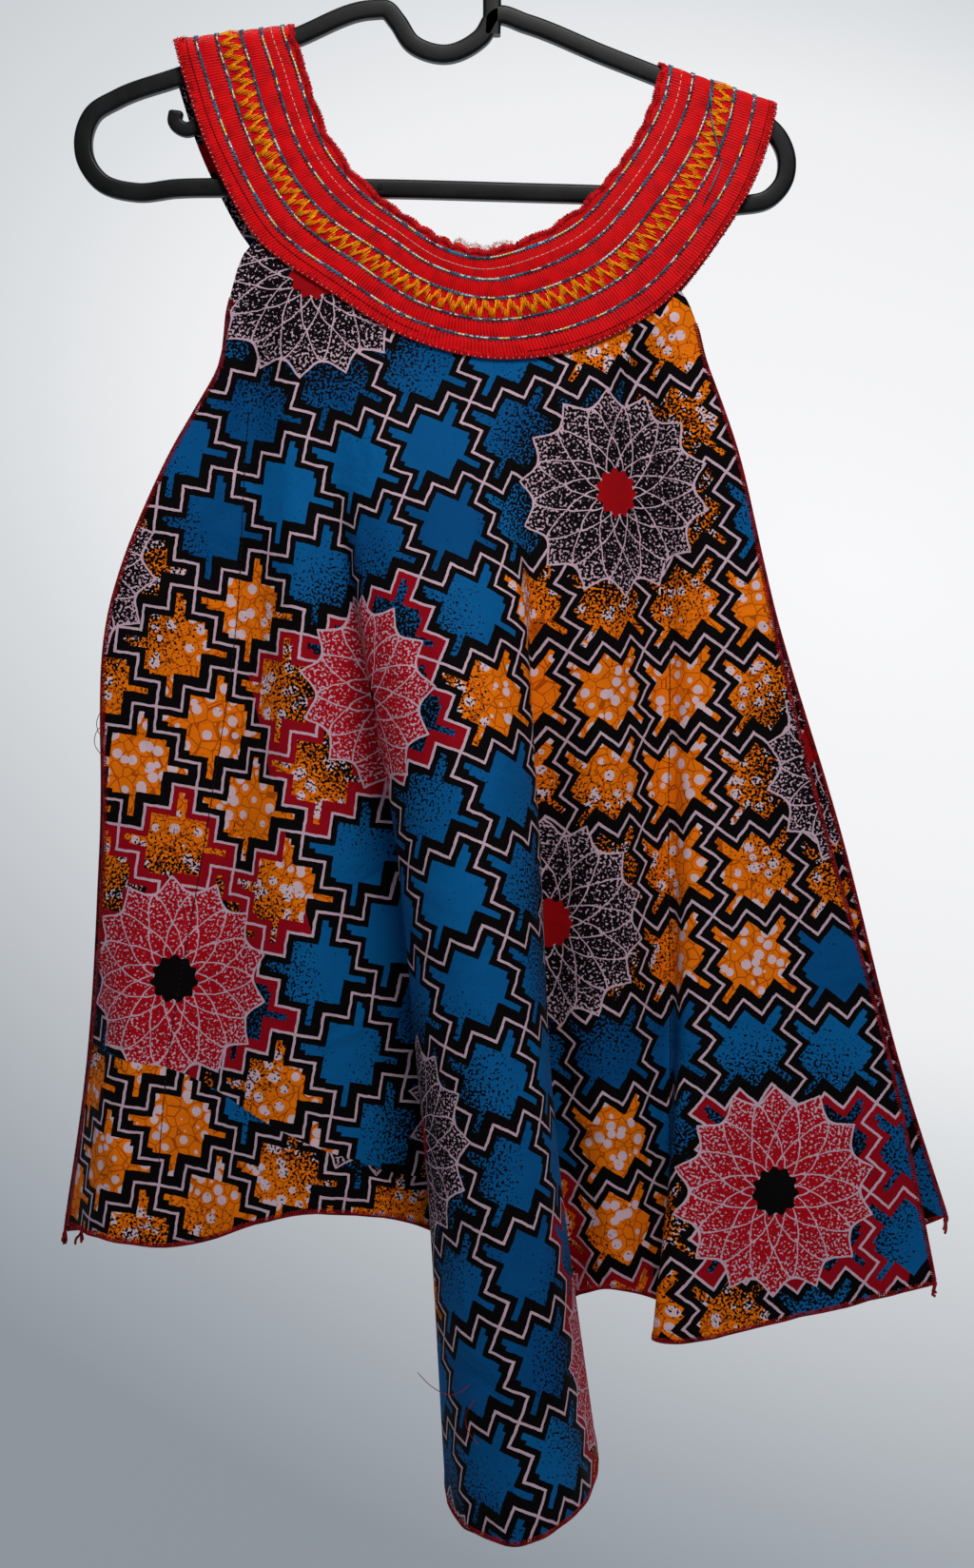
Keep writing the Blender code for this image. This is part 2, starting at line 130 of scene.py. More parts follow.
BACK_FOLDS = {
    "left_edge": (6.04, (-128, 7, -289), (-154, -191, -196), (7, 7, 9),
                  (-207, 32, -690), (-224, 58, -790)),
    "left_wing": (6.18, (-117, 9, -290), (-135, -152, -163), (9, 11, 13),
                  (-183, 22, -690), (-190, 34, -784)),
    "left_seam": (6.30, (-108, 2.5, -292), (-112, -117, -134), (SEAM_DEPTH,) * 3,
                  (-157, SEAM_DEPTH, -688), (-165, SEAM_DEPTH, -788)),
    "left_body": (6.90, (-80, 12, -292), (-82, -78, -82), (15, 26, 32),
                  (-86, 36, -690), (-84, 40, -765)),
    "left_valley": (7.50, (-44, 14.5, -302), (-40, -36, -30), (18, 23, 24),
                    (-20, 24, -690), (-4, 26, -774)),
    "rear_left": (8.00, (-24, 16, -306), (-22, -16, -8), (21, 38, 46),
                  (2, 54, -690), (14, 60, -846)),
    "rear_left_turn": (8.40, (-4, 17, -308), (-4, 0, 9), (24, 48, 62),
                       (16, 72, -690), (25, 84, -862)),
    "rear_crest": (8.90, (18, 18, -310), (17, 20, 27), (25, 52, 70),
                   (33, 84, -690), (42, 98, -870)),
    "rear_right_turn": (9.30, (36, 18, -309), (35, 38, 44), (24, 48, 62),
                        (49, 75, -690), (59, 84, -866)),
    "rear_right": (9.70, (54, 17.5, -307), (50, 52, 56), (21, 38, 48),
                   (60, 56, -690), (70, 60, -854)),
    "right_valley": (10.10, (76, 16, -301), (73, 76, 78), (18, 23, 24),
                     (78, 25, -690), (79, 26, -794)),
    "right_body": (10.50, (94, 15, -296), (97, 101, 104), (15, 20, 26),
                   (106, 28, -690), (106, 30, -798)),
    "right_seam": (10.85, (114, 2.5, -290), (121, 129, 129), (SEAM_DEPTH,) * 3,
                   (130, SEAM_DEPTH, -690), (128, SEAM_DEPTH, -818)),
    "right_wing": (11.10, (135, 9, -286), (146, 160, 176), (8, 9, 12),
                   (198, 16, -690), (216, 18, -804)),
    "right_edge": (11.35, (150, 7, -284), (168, 191, 227), (6, 6, 8),
                   (263, 9, -690), (289, 7, -773)),
}
SEAMS = ("left_seam", "right_seam")
PIECED_TO = "left_valley"
LOW_SECTION = 6
ROWS_DOWN = (1, 2, 2, 3, 4, 4, 8)
COLUMNS_PER_FOLD = 3
PIECED_ROW = sum(ROWS_DOWN[:LOW_SECTION])
PIECED_COLUMN = list(FRONT_FOLDS).index(PIECED_TO) * COLUMNS_PER_FOLD

HANGER_LOOP = (
    (-39.5, -84.5), (-85.0, -101.0), (-152.0, -123.5), (-185.5, -135.5), (-199.0, -144.0),
    (-204.5, -157.0), (-203.5, -170.0), (-195.0, -182.5), (-174.0, -188.8), (-152.0, -186.6),
    (-125.0, -186.0), (-40.0, -186.6), (52.0, -189.0), (100.0, -190.5), (135.0, -192.5),
    (170.0, -196.0), (186.0, -192.5), (194.5, -183.0), (196.5, -171.0), (192.0, -158.0),
    (181.0, -147.5), (160.0, -138.0), (124.0, -123.0), (91.0, -110.0), (48.0, -92.5),
    (31.0, -88.0), (22.0, -100.5), (2.0, -110.0), (-17.0, -104.0), (-26.0, -91.0), (-32.0, -84.6),
)
STEM = ((28.0, -99.0), (28.4, -84.0), (27.6, -60.0), (25.6, -38.0))
LEFT_STRAP_HOOK = ((-137.0, -120.0), (-136.5, -138.0), (-138.5, -149.0), (-146.0, -153.0),
                   (-152.5, -148.5), (-152.0, -143.5))
RIGHT_STRAP_HOOK = ((136.5, -128.0), (137.5, -146.0), (140.5, -156.5), (148.0, -160.0),
                    (154.0, -155.0), (153.0, -150.0))

# Sizes of what only shows here

FINER = 4
SHELL_WALL = 0.9
FLATTENING_TURNS = 2500
SEAM_REACH = {"left_seam": 0.86, "right_seam": 0.97}

# The hanger's moulded corners (in from the bar's side, in from its face), its rounded ends (how
# far on, and their share of the bar's size) and its mould mark (rings' radius, and forward).
BAR_CORNER = ((0.0, 2.1), (0.12, 1.25), (0.55, 0.5), (1.2, 0.12), (2.0, 0.0))
BAR_TIP = ((0.9, 0.93), (1.6, 0.74), (2.0, 0.45))
MARK_PLACE = (-35.3, -186.4)
MARK_RINGS = ((1.6, 0.5), (1.6, -0.35), (1.3, -0.6), (0.7, -0.6), (0.5, -0.35))

# Soft creases: the line they follow (across, height), their half width, and how far they stand
# out, or in where it is under 0.
FRONT_CREASES = (
    (((-128, -330), (-150, -420), (-158, -520)), 9, 2.2),
    (((-95, -330), (-104, -430), (-118, -560), (-126, -700)), 10, -2.4),
    (((-70, -345), (-84, -460), (-104, -600)), 12, 2.2),
    (((-48, -520), (-70, -620), (-92, -730)), 14, 2.6),
    (((-175, -600), (-186, -680), (-196, -760)), 8, -2.6),
    (((-205, -690), (-190, -735), (-160, -770)), 9, 2.0),
    (((-20, -330), (-14, -430), (-2, -540)), 7, -1.8),
    (((14, -360), (30, -480), (38, -640)), 8, 1.8),
    (((12, -640), (22, -760), (30, -880)), 9, -2.2),
    (((52, -700), (60, -800), (70, -890)), 8, 2.0),
    (((76, -330), (82, -430), (84, -560)), 9, 2.0),
    (((104, -340), (112, -470), (112, -620)), 8, -2.4),
    (((70, -620), (84, -700), (90, -790)), 9, 2.2),
    (((150, -470), (170, -560), (186, -680)), 12, 2.4),
    (((196, -560), (222, -640), (246, -700)), 9, -2.6),
    (((160, -720), (190, -760), (232, -790)), 10, 2.2),
)
BACK_CREASES = (
    (((-125, -330), (-148, -440), (-160, -560)), 10, 2.2),
    (((-60, -340), (-66, -470), (-78, -620)), 12, 2.6),
    (((-100, -400), (-112, -520), (-128, -680)), 10, -2.2),
    (((-10, -340), (-2, -460), (8, -620)), 8, -2.0),
    (((34, -360), (44, -500), (52, -700)), 8, 2.0),
    (((20, -640), (30, -740), (36, -840)), 8, -2.2),
    (((88, -350), (92, -480), (92, -660)), 9, 2.4),
    (((150, -480), (176, -600), (206, -740)), 12, 2.2),
    (((200, -560), (226, -650), (250, -720)), 9, -2.4),
)
HEM_WAVE = 1.5
HEM_WAVE_LENGTHS = (31.0, 47.0, 19.0)

# Where the yoke's rows of stitching run, as shares of its width from the neck.
CORD_ROWS = (0.07, 0.26, 0.43, 0.635, 0.81)
RUNNING_ROW = 0.17
ZIGZAG_ROW = 0.535
ZIGZAG_PEAK = 7.3
ZIGZAG_THROW = 2.9
YOKE_SEAMS = (0.0, *CORD_ROWS, 0.46, 0.61, 1.0)
YOKE_WIDTH = 62.0
YOKE_FINE_ROWS = 60
PILLOW = 0.55
SCALLOP = 21.0
LACE_SPAN = (0.47, 0.60)
LACE_THREADS = 260
RAW_THREADS = 60
CORD_RADIUS = 0.52
EDGE_THREAD_RADIUS = 0.75

# The stitching: how far apart its stitches are, how long, and their thread's radius.
STITCHING = {
    "row_overcasting": (1.2, 2.6, 0.24),
    "zigzag_band": (0.68, 6.0, 0.27),
    "running_stitch": (3.6, 2.3, 0.2),
    "bound_edges": (1.1, 3.6, 0.38),
    "edge_dots": (2.6, 0.9, 0.22),
    "armhole_lines": (2.4, 2.3, 0.24),
    "overlock": (1.25, 2.9, 0.36),
    "side_seams": (3.1, 2.5, 0.32),
}

# Stray threads: where each starts, and its steps from there.
STRAY_THREADS = (
    ((-189, -8, -478), (-4, -2, -6), (-3, 0, -8), (2, 1, -6), (4, 0, 3)),
    ((-190, -8, -492), (-5, -2, -3), (-2, 0, -9), (5, 0, -6), (1, 0, 6)),
    ((20, -97, -846), (-14, -4, -7), (-10, -2, 5), (-8, 0, 8)),
    ((22, -100, -852), (-8, -5, -12), (2, -2, -8), (5, 0, -6)),
)

# The print, in millimetres of cloth.
CELL = 14.0
GRAIN_TURN = math.radians(24.0)
OUTLINE = 0.75
SHADOW = 6.4
EDGE_BLACK = 4.2
REPEAT_ACROSS = 178.0
REPEAT_DOWN = 246.0
MEDALLION = 54.0
MEDALLION_HEART = 13.0
PETALS = 14
PETAL_POINT = 1.35
PETAL_LINE = 0.85
PETAL_NOTCH = 9.0
PETAL_REACH = 5.0
HEART_JAGS = 11.0
HEART_JAG = 1.1
CRIMSON_REACH = 24.0
ORANGE_ABOVE = 0.22
BAND_HEADINGS = ((0.19, 0.11, 0.0), (-0.08, 0.24, 0.0))

# Where in the print each other piece is cut from, and the turning's place along it.
PIECE_CUT_AT = (71.0, -43.0)
BACK_CUT_AT = (410.0, 0.0)
TURNING_CUT_AT = 215.0

# Over the spacing of a wave texture's bands, this gives its scale.
WAVE_SCALE = 0.314

# The photograph's camera, in metres: how far off, its place, and the height it frames there.
CAMERA_AWAY = 1.6
CAMERA_ACROSS = 0.0255
CAMERA_HEIGHT = -0.5262
FRAME_HEIGHT = 0.8949
SENSOR = 36.0


# Shapes


def unit(vectors):
    """Vectors at length 1."""
    return vectors / np.linalg.norm(vectors, axis=-1, keepdims=True)


def lengths_along(path):
    """How far along a path each of its points lies."""
    return np.pad(np.cumsum(np.linalg.norm(np.diff(path, axis=0), axis=1)), (1, 0))


def smooth_through(points, steps, level_at=(), closed=False):
    """Points on a smooth curve through these ones. Each span is cut into so many steps: one
    number for all of them, or one for each. Columns past the third are only carried."""
    points = np.asarray(points, float)
    if isinstance(steps, int):
        steps = [steps] * (len(points) - (not closed))
    if closed:
        points = np.concatenate([points[-1:], points, points[:2]])
    else:
        before = 2 * points[:1] - points[1:2]
        after = 2 * points[-1:] - points[-2:-1]
        points = np.concatenate([before, points, after])
    chord = np.linalg.norm(np.diff(points, axis=0)[..., :3], axis=-1, keepdims=True)
    slope = np.diff(points, axis=0) / chord
    share = chord[:-1] / (chord[:-1] + chord[1:])
    tangent = slope[:-1] * (1 - share) + slope[1:] * share
    for number in level_at:
        tangent[number, ..., 1] = 0.0
    refined = []
    for i, count in enumerate(steps):
        start, end, length = points[i + 1], points[i + 2], chord[i + 1]
        for t in np.arange(count) / count:
            refined.append(
                start * (2 * t**3 - 3 * t**2 + 1)
                + end * (3 * t**2 - 2 * t**3)
                + length * (tangent[i] * (t**3 - 2 * t**2 + t) + tangent[i + 1] * (t**3 - t**2))
            )
    if not closed:
        refined.append(points[-2])
    return np.array(refined)


def yoke_edge_points(side):
    """The yoke's inner and outer edges at each section; side is -1 in front and 1 behind."""
    drop = BACK_NECK_DROP / (YOKE_DEPTH - SHOULDER_DEPTH) if side > 0 else 0.0
    inner = [
        (row[0], side * row[4], row[1] - drop * max(row[4] - SHOULDER_DEPTH, 0.0))
        for row in YOKE_SECTIONS
    ]
    outer = [(row[2], side * row[4], row[3]) for row in YOKE_SECTIONS]
    return np.array(inner, float), np.array(outer, float)


def on_yoke(side, section, beyond):
    """A point in the yoke's face at this section, so many mm beyond its outer edge."""
    inner, outer = yoke_edge_points(side)
    place = round(section * 100)
    edge = smooth_through(outer, 100)[place]
    neck = smooth_through(inner, 100)[place]
    return edge + unit(edge - neck) * beyond


def fold_line(row, side):
    """A fold line's points, from the one behind the yoke down to the hem."""
    section, under_arm, across, forward, low, hem = row
    behind_yoke = np.array((0.0, -side * (YOKE_WALL + SEWN_GAP), 0.0))
    points = [
        on_yoke(side, section, -YOKE_OVERLAP) + behind_yoke,
        on_yoke(side, section, YOKE_FREE_EDGE) + behind_yoke,
    ]
    sections = [under_arm, *zip(across, forward, LEVELS), low, hem]
    return points + [(x, side * y, z) for x, y, z in sections]


def held_at_seams(grid, folds, side, columns):
    """The grid with its face kept outside the seams' plane near each seam."""
    for name in SEAMS:
        middle = list(folds).index(name) * columns
        near = slice(middle - columns, middle + columns + 1)
        grid[:, near, 1] = side * np.maximum(side * grid[:, near, 1], SEAM_DEPTH)
    return grid


def filled(grid, down, across, level_at=()):
    """A finer grid through this one: new points down its columns, then along its rows."""
    rows = smooth_through(grid, down)
    return smooth_through(rows.transpose(1, 0, 2), across, level_at).transpose(1, 0, 2)


def panel_grid(folds, side):
    """The panel's outer face at the solid's pitch, as points by row (down) and column."""
    lines = np.array([fold_line(row, side) for row in folds.values()], float)
    seams = [list(folds).index(name) for name in SEAMS]
    grid = filled(lines.transpose(1, 0, 2), ROWS_DOWN, COLUMNS_PER_FOLD, seams)
    return held_at_seams(grid, folds, side, COLUMNS_PER_FOLD)


def flattened(grid):
    """Where the grid's points lie on the cloth laid flat: across and up, in millimetres.

    It starts from the lengths along the rows, and lets the mesh's sides and diagonals pull each
    point until they have the lengths that they have on the dress.
    """
    across = np.linalg.norm(np.diff(grid, axis=1), axis=2)
    down = np.linalg.norm(np.diff(grid, axis=0), axis=2)
    places = np.pad(np.cumsum(across, axis=1), ((0, 0), (1, 0)))
    places -= places[:, places.shape[1] // 2][:, None]
    heights = -np.pad(np.cumsum(down.mean(axis=1)), (1, 0))
    flat = np.stack([places, np.repeat(heights[:, None], grid.shape[1], axis=1)], axis=2)
    springs = []
    for i, j in ((0, 1), (1, 0), (1, 1), (1, -1), (0, 2), (2, 0)):
        first = (slice(0, grid.shape[0] - i), slice(max(-j, 0), grid.shape[1] - max(j, 0)))
        second = (slice(i, None), slice(max(j, 0), grid.shape[1] + min(j, 0)))
        springs.append((first, second, np.linalg.norm(grid[second] - grid[first], axis=2)))
    for _ in range(FLATTENING_TURNS):
        pull = np.zeros_like(flat)
        count = np.zeros(flat.shape[:2])
        for first, second, length in springs:
            gap = flat[second] - flat[first]
            change = gap * (0.5 - 0.5 * length / np.linalg.norm(gap, axis=2))[..., None]
            pull[first] += change
            pull[second] -= change
            count[first] += 1
            count[second] += 1
        flat += 1.4 * pull / count[..., None]
    return flat


def near_line(across, height, line, width):
    """How near points are to a line: 1 on it, fading over the width and towards its ends."""
    line = smooth_through(line, 6)
    nearest = np.full(across.shape, 1e9)
    place = np.zeros(across.shape)
    for span, (start, end) in enumerate(zip(line[:-1], line[1:])):
        run = end - start
        share = (across - start[0]) * run[0] + (height - start[1]) * run[1]
        share = np.clip(share / (run @ run), 0.0, 1.0)
        away = np.hypot(across - start[0] - share * run[0], height - start[1] - share * run[1])
        place = np.where(away < nearest, (span + share) / (len(line) - 1), place)
        nearest = np.minimum(away, nearest)
    ends = np.sin(np.pi * np.clip(place, 0.02, 0.98)) ** 0.7
    return np.exp(-((nearest / width) ** 2)) * ends


def creased(grid, folds, side, creases):
    """The fine grid with its soft creases and a hem that waves a little."""
    rows, columns = grid.shape[:2]
    row = np.arange(rows)[:, None] / FINER
    column = np.arange(columns)[None, :] / FINER
    free = np.clip((row - 3.0) / 3.0, 0.0, 1.0) * np.ones_like(column)
    for name in SEAMS:
        seam = list(folds).index(name) * COLUMNS_PER_FOLD
        free = free * np.clip((np.abs(column - seam) - 0.6) / 2.0, 0.0, 1.0)
    out = np.zeros((rows, columns))
    for line, width, height in creases:
        out += height * near_line(grid[..., 0], grid[..., 2], line, width)
    length = grid[..., 3]
    wave = sum(np.sin(length * 2 * np.pi / pitch + pitch) for pitch in HEM_WAVE_LENGTHS)
    above_hem = np.linalg.norm(grid[..., :3] - grid[-1:, :, :3], axis=2)
    out += HEM_WAVE / 2 * wave * np.exp(-((above_hem / 16.0) ** 1.5))
    grid = grid.copy()
    grid[..., 1] += side * out * free
    return grid


def facing(points, side):
    """Unit normals of a grid's outer face."""
    return unit(np.cross(np.gradient(points, axis=0), np.gradient(points, axis=1)) * -side)


def new_object(name, verts, faces, material, uv=None, sharp=None):
    """An object at the origin, with its place in its mesh; verts are in metres."""
    mesh = bpy.data.meshes.new(name)
    mesh.from_pydata(np.asarray(verts).tolist(), [], [tuple(map(int, face)) for face in faces])
    if uv is not None:
        corners = np.empty(len(mesh.loops), np.int32)
        mesh.loops.foreach_get("vertex_index", corners)
        mesh.uv_layers.new(name="cloth").data.foreach_set("uv", np.asarray(uv)[corners].ravel())
    mesh.shade_smooth()
    if sharp:
        mesh.set_sharp_from_angle(angle=math.radians(sharp))
    mesh.materials.append(material)
    mesh.validate()
    obj = bpy.data.objects.new(name, mesh)
    bpy.context.scene.collection.objects.link(obj)
    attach(obj, "root")
    return obj


def shell(name, grid, wall, side, material, keep=None):
    """A cloth piece: the grid's face, thickened inwards and closed round its edges."""
    points, uv = grid[..., :3], grid[..., 3:5].reshape(-1, 2)
    inside = points - facing(points, side) * wall
    count = points.shape[0] * points.shape[1]
    index = np.arange(count).reshape(points.shape[:2])
    keep = np.ones((index.shape[0] - 1, index.shape[1] - 1), bool) if keep is None else keep
    corners = [index[:-1, :-1], index[1:, :-1], index[1:, 1:], index[:-1, 1:]]
    face = np.stack([corner[keep] for corner in corners], axis=1)
    face = face if side < 0 else face[:, ::-1]
    starts, ends = face.ravel(), np.roll(face, -1, axis=1).ravel()
    rim = ~np.isin(ends * count + starts, starts * count + ends)
    starts, ends = starts[rim], ends[rim]
    edge = np.stack([ends, starts, starts + count, ends + count], axis=1)
    faces = np.concatenate([face, face[:, ::-1] + count, edge])
    used, faces = np.unique(faces, return_inverse=True)
    verts = np.concatenate([points.reshape(-1, 3), inside.reshape(-1, 3)])[used]
    uvs = np.concatenate([uv, uv])[used]
    return new_object(name, verts * MM, faces.reshape(-1, 4), material, uvs * MM, sharp=55)


def ring_faces(rings, sides, closed):
    """Quads between rings of points, with flat ends where the run isn't closed."""
    index = np.arange(rings * sides).reshape(rings, sides)
    after = np.roll(index, -1, axis=0) if closed else index[1:]
    first = index if closed else index[:-1]
    quads = np.stack([first, after, np.roll(after, -1, 1), np.roll(first, -1, 1)], 2)
    faces = [tuple(quad) for quad in quads.reshape(-1, 4)]
    if not closed:
        faces += [tuple(index[0]), tuple(index[-1][::-1])]
    return faces


def tube(path, radius, sides=6):
    """A thread along a path, as points and faces; it thins out at its ends."""
    path = np.asarray(path, float)
    along = unit(np.gradient(path, axis=0))
    across = np.cross(along[0], (0.31, 0.9, 0.3))
    rings = []
    sizes = np.full(len(path), float(radius))
    sizes[0] = sizes[-1] = radius * 0.35
    for place, forward, size in zip(path, along, sizes):
        across = unit(across - forward * (across @ forward))
        up = np.cross(forward, across)
        turns = np.arange(sides) * 2 * np.pi / sides
        rings.append(place + size * (np.outer(np.cos(turns), across) + np.outer(np.sin(turns), up)))
    faces = [face[::-1] for face in ring_faces(len(path), sides, False)]
    return np.concatenate(rings), faces


def joined(parts):
    """Several meshes' points and faces as one mesh's, in metres."""
    verts, faces, first = [], [], 0
    for points, rings in parts:
        verts.append(points)
        faces += [tuple(corner + first for corner in face) for face in rings]
        first += len(points)
    return np.concatenate(verts) * MM, faces


def threads(name, paths, radius, material, sides=6):
    """Several threads as one piece."""
    return new_object(name, *joined([tube(path, radius, sides) for path in paths]), material)


def sampled(field, row, column):
    """Values of a grid between its points."""
    row = np.clip(row, 0.0, field.shape[0] - 1.001)
    column = np.clip(column, 0.0, field.shape[1] - 1.001)
    i, j = np.floor(row).astype(int), np.floor(column).astype(int)
    down, over = (row - i)[..., None], (column - j)[..., None]
    top = field[i, j] * (1 - over) + field[i, j + 1] * over
    below = field[i + 1, j] * (1 - over) + field[i + 1, j + 1] * over
    return top * (1 - down) + below * down


def spaced(path, pitch, *fields):
    """Points at an even pitch along a path, and what each field has there."""
    length = lengths_along(path)
    places = np.arange(pitch / 2, length[-1], pitch)
    return [
        np.stack([np.interp(places, length, field[:, k]) for k in range(field.shape[1])], axis=1)
        for field in (path, *fields)
    ]


# Nodes, stitches and materials

MATH, VECTOR, MIX = "ShaderNodeMath", "ShaderNodeVectorMath", "ShaderNodeMix"
NOISE, WAVE, RANGE = "ShaderNodeTexNoise", "ShaderNodeTexWave", "ShaderNodeMapRange"
RAMP, BUMP, TURN = "ShaderNodeValToRGB", "ShaderNodeBump", "ShaderNodeVectorRotate"
RGBA = {"out": 2, "data_type": "RGBA"}


def fill(made, values):
    """Gives a node's inputs their values, by name or in order, or links them from the sockets
    that stand for them."""
    for key, value in values.items() if isinstance(values, dict) else enumerate(values):
        if isinstance(value, bpy.types.NodeSocket):
            made.id_data.links.new(value, made.inputs[key])
        else:
            made.inputs[key].default_value = value


def node(tree, kind, values=(), out=0, stops=(), **settings):
    """Adds a node with its settings and inputs, and returns one output. A colour ramp also gets
    its stops: their positions and colours."""
    made = tree.nodes.new(kind)
    for name, value in settings.items():
        setattr(made, name, value)
    for number, (position, colour) in enumerate(stops):
        elements = made.color_ramp.elements
        stop = elements[number] if number < 2 else elements.new(position)
        stop.position = position
        stop.color = colour
    fill(made, values)
    return made.outputs[out]


def linear(code, alpha=1.0):
    """An sRGB hex colour as linear red, green, blue and alpha."""
    parts = [int(code[i:i + 2], 16) / 255 for i in (1, 3, 5)]
    return (*(c / 12.92 if c <= 0.04045 else ((c + 0.055) / 1.055) ** 2.4 for c in parts), alpha)


def colours(*stops):
    """A ramp's stops, from positions and sRGB hex colours."""
    return [(position, linear(code)) for position, code in stops]


def new_group(name, kind, inputs, output):
    """A node group with named sockets: its tree, its inputs' sockets and its output node."""
    tree = bpy.data.node_groups.new(name, kind)
    for title, socket in inputs.items():
        tree.interface.new_socket(title, in_out="INPUT", socket_type="NodeSocket" + socket)
    tree.interface.new_socket(output[0], in_out="OUTPUT", socket_type="NodeSocket" + output[1])
    return tree, tree.nodes.new("NodeGroupInput").outputs, tree.nodes.new("NodeGroupOutput")


def stitch_tree():
    """Threads laid on the points of a mesh, each along its own direction and to its own length."""
    tree, given, result = new_group(
        "sewn_stitches", "GeometryNodeTree",
        {"Points": "Geometry", "Thread radius": "Float", "Thread": "Material"},
        ("Stitches", "Geometry"))
    tree.is_modifier = True
    add = functools.partial(node, tree)
    direction = add("GeometryNodeInputNamedAttribute", {"Name": "stitch_direction"},
                    out="Attribute", data_type="FLOAT_VECTOR")
    half = add("GeometryNodeInputNamedAttribute", {"Name": "stitch_half_length"},
               out="Attribute", data_type="FLOAT")
    radius = given["Thread radius"]
    size = add("ShaderNodeCombineXYZ", {"X": radius, "Y": radius, "Z": half})
    turn = add("FunctionNodeAlignRotationToVector", {"Vector": direction}, axis="Z")
    thread = add("GeometryNodeMeshCylinder",
                 {"Vertices": 5, "Side Segments": 1, "Radius": 1.0, "Depth": 2.0})
    laid = add("GeometryNodeInstanceOnPoints",
               {"Points": given["Points"], "Instance": thread, "Rotation": turn, "Scale": size})
    real = add("GeometryNodeRealizeInstances", {"Geometry": laid})
    smooth = add("GeometryNodeSetShadeSmooth", {"Geometry": real})
    coloured = add("GeometryNodeSetMaterial", {"Geometry": smooth, "Material": given["Thread"]})
    fill(result, {"Stitches": coloured})
    return tree


def sewn(name, rows, radius, material):
    """Stitches as one plain mesh; each row has its stitches' centres, directions and lengths."""
    centres = np.concatenate([row[0] for row in rows])
    directions = np.concatenate([row[1] for row in rows])
    lengths = np.concatenate([np.broadcast_to(np.float64(row[2]), len(row[0])) for row in rows])
    points = bpy.data.meshes.new(name + "_points")
    points.from_pydata((centres * MM).tolist(), [], [])
    way = points.attributes.new("stitch_direction", "FLOAT_VECTOR", "POINT")
    way.data.foreach_set("vector", directions.ravel())
    half = points.attributes.new("stitch_half_length", "FLOAT", "POINT")
    half.data.foreach_set("value", lengths * MM / 2)
    obj = bpy.data.objects.new(name, points)
    bpy.context.scene.collection.objects.link(obj)
    sewing = obj.modifiers.new("sewing", "NODES")
    sewing.node_group = STITCHES
    given = {"Thread radius": radius * MM, "Thread": material}
    for item in STITCHES.interface.items_tree:
        if item.name in given:
            sewing[item.identifier] = given[item.name]
    graph = bpy.context.evaluated_depsgraph_get()
    mesh = bpy.data.meshes.new_from_object(obj.evaluated_get(graph))
    mesh.name = name
    obj.modifiers.clear()
    obj.data = mesh
    if not mesh.materials:
        mesh.materials.append(material)
    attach(obj, "root")
    return obj


def lozenge_group():
    """Which stepped lozenge a point of the print lies in: the middle of that lozenge, in cells.

    Thirteen cells make a lozenge, and its copies fill the plane with nothing between them. A
    cell's place in its lozenge follows from (across + 5 up) modulo 13, read off a colour ramp.
    """
    tree, given, result = new_group("lozenge_of_thirteen_cells", "ShaderNodeTree",
                                    {"Cells": "Vector"}, ("Middle", "Vector"))
    add = functools.partial(node, tree)
    corner = add(VECTOR, (given["Cells"],), operation="FLOOR")
    count = add(VECTOR, (corner, (1.0, 5.0, 0.0)), "Value", operation="DOT_PRODUCT")
    place = add(MATH, (count, 13.0), operation="FLOORED_MODULO")
    share = add(MATH, (place, 1 / 13, 0.5 / 13), operation="MULTIPLY_ADD")
    # How far each of the thirteen cells is from the middle one: over, up.
    steps = ((0, 0), (1, 0), (2, 0), (0, -2), (-1, 1), (0, 1), (1, 1), (-1, -1), (0, -1),
             (1, -1), (0, 2), (-2, 0), (-1, 0))
    stops = [(number / 13, ((over + 2) / 4, (up + 2) / 4, 0.5, 1.0))
             for number, (over, up) in enumerate(steps)]
    ramp = add(RAMP, {"Fac": share}, stops=stops)
    ramp.node.color_ramp.interpolation = "CONSTANT"
    offset = add(VECTOR, (ramp, (4.0, 4.0, 4.0), (-2.0, -2.0, -2.0)),
                 operation="MULTIPLY_ADD")
    fill(result, {"Middle": add(VECTOR, (corner, offset), operation="SUBTRACT")})
    return tree


def new_material(name, values):
    """A material with its shader's plain inputs set, what adds a node to it, and its shader."""
    material = bpy.data.materials.new(name)
    material.use_nodes = True
    shader = material.node_tree.nodes["Principled BSDF"]
    fill(shader, values)
    return material, functools.partial(node, material.node_tree), shader


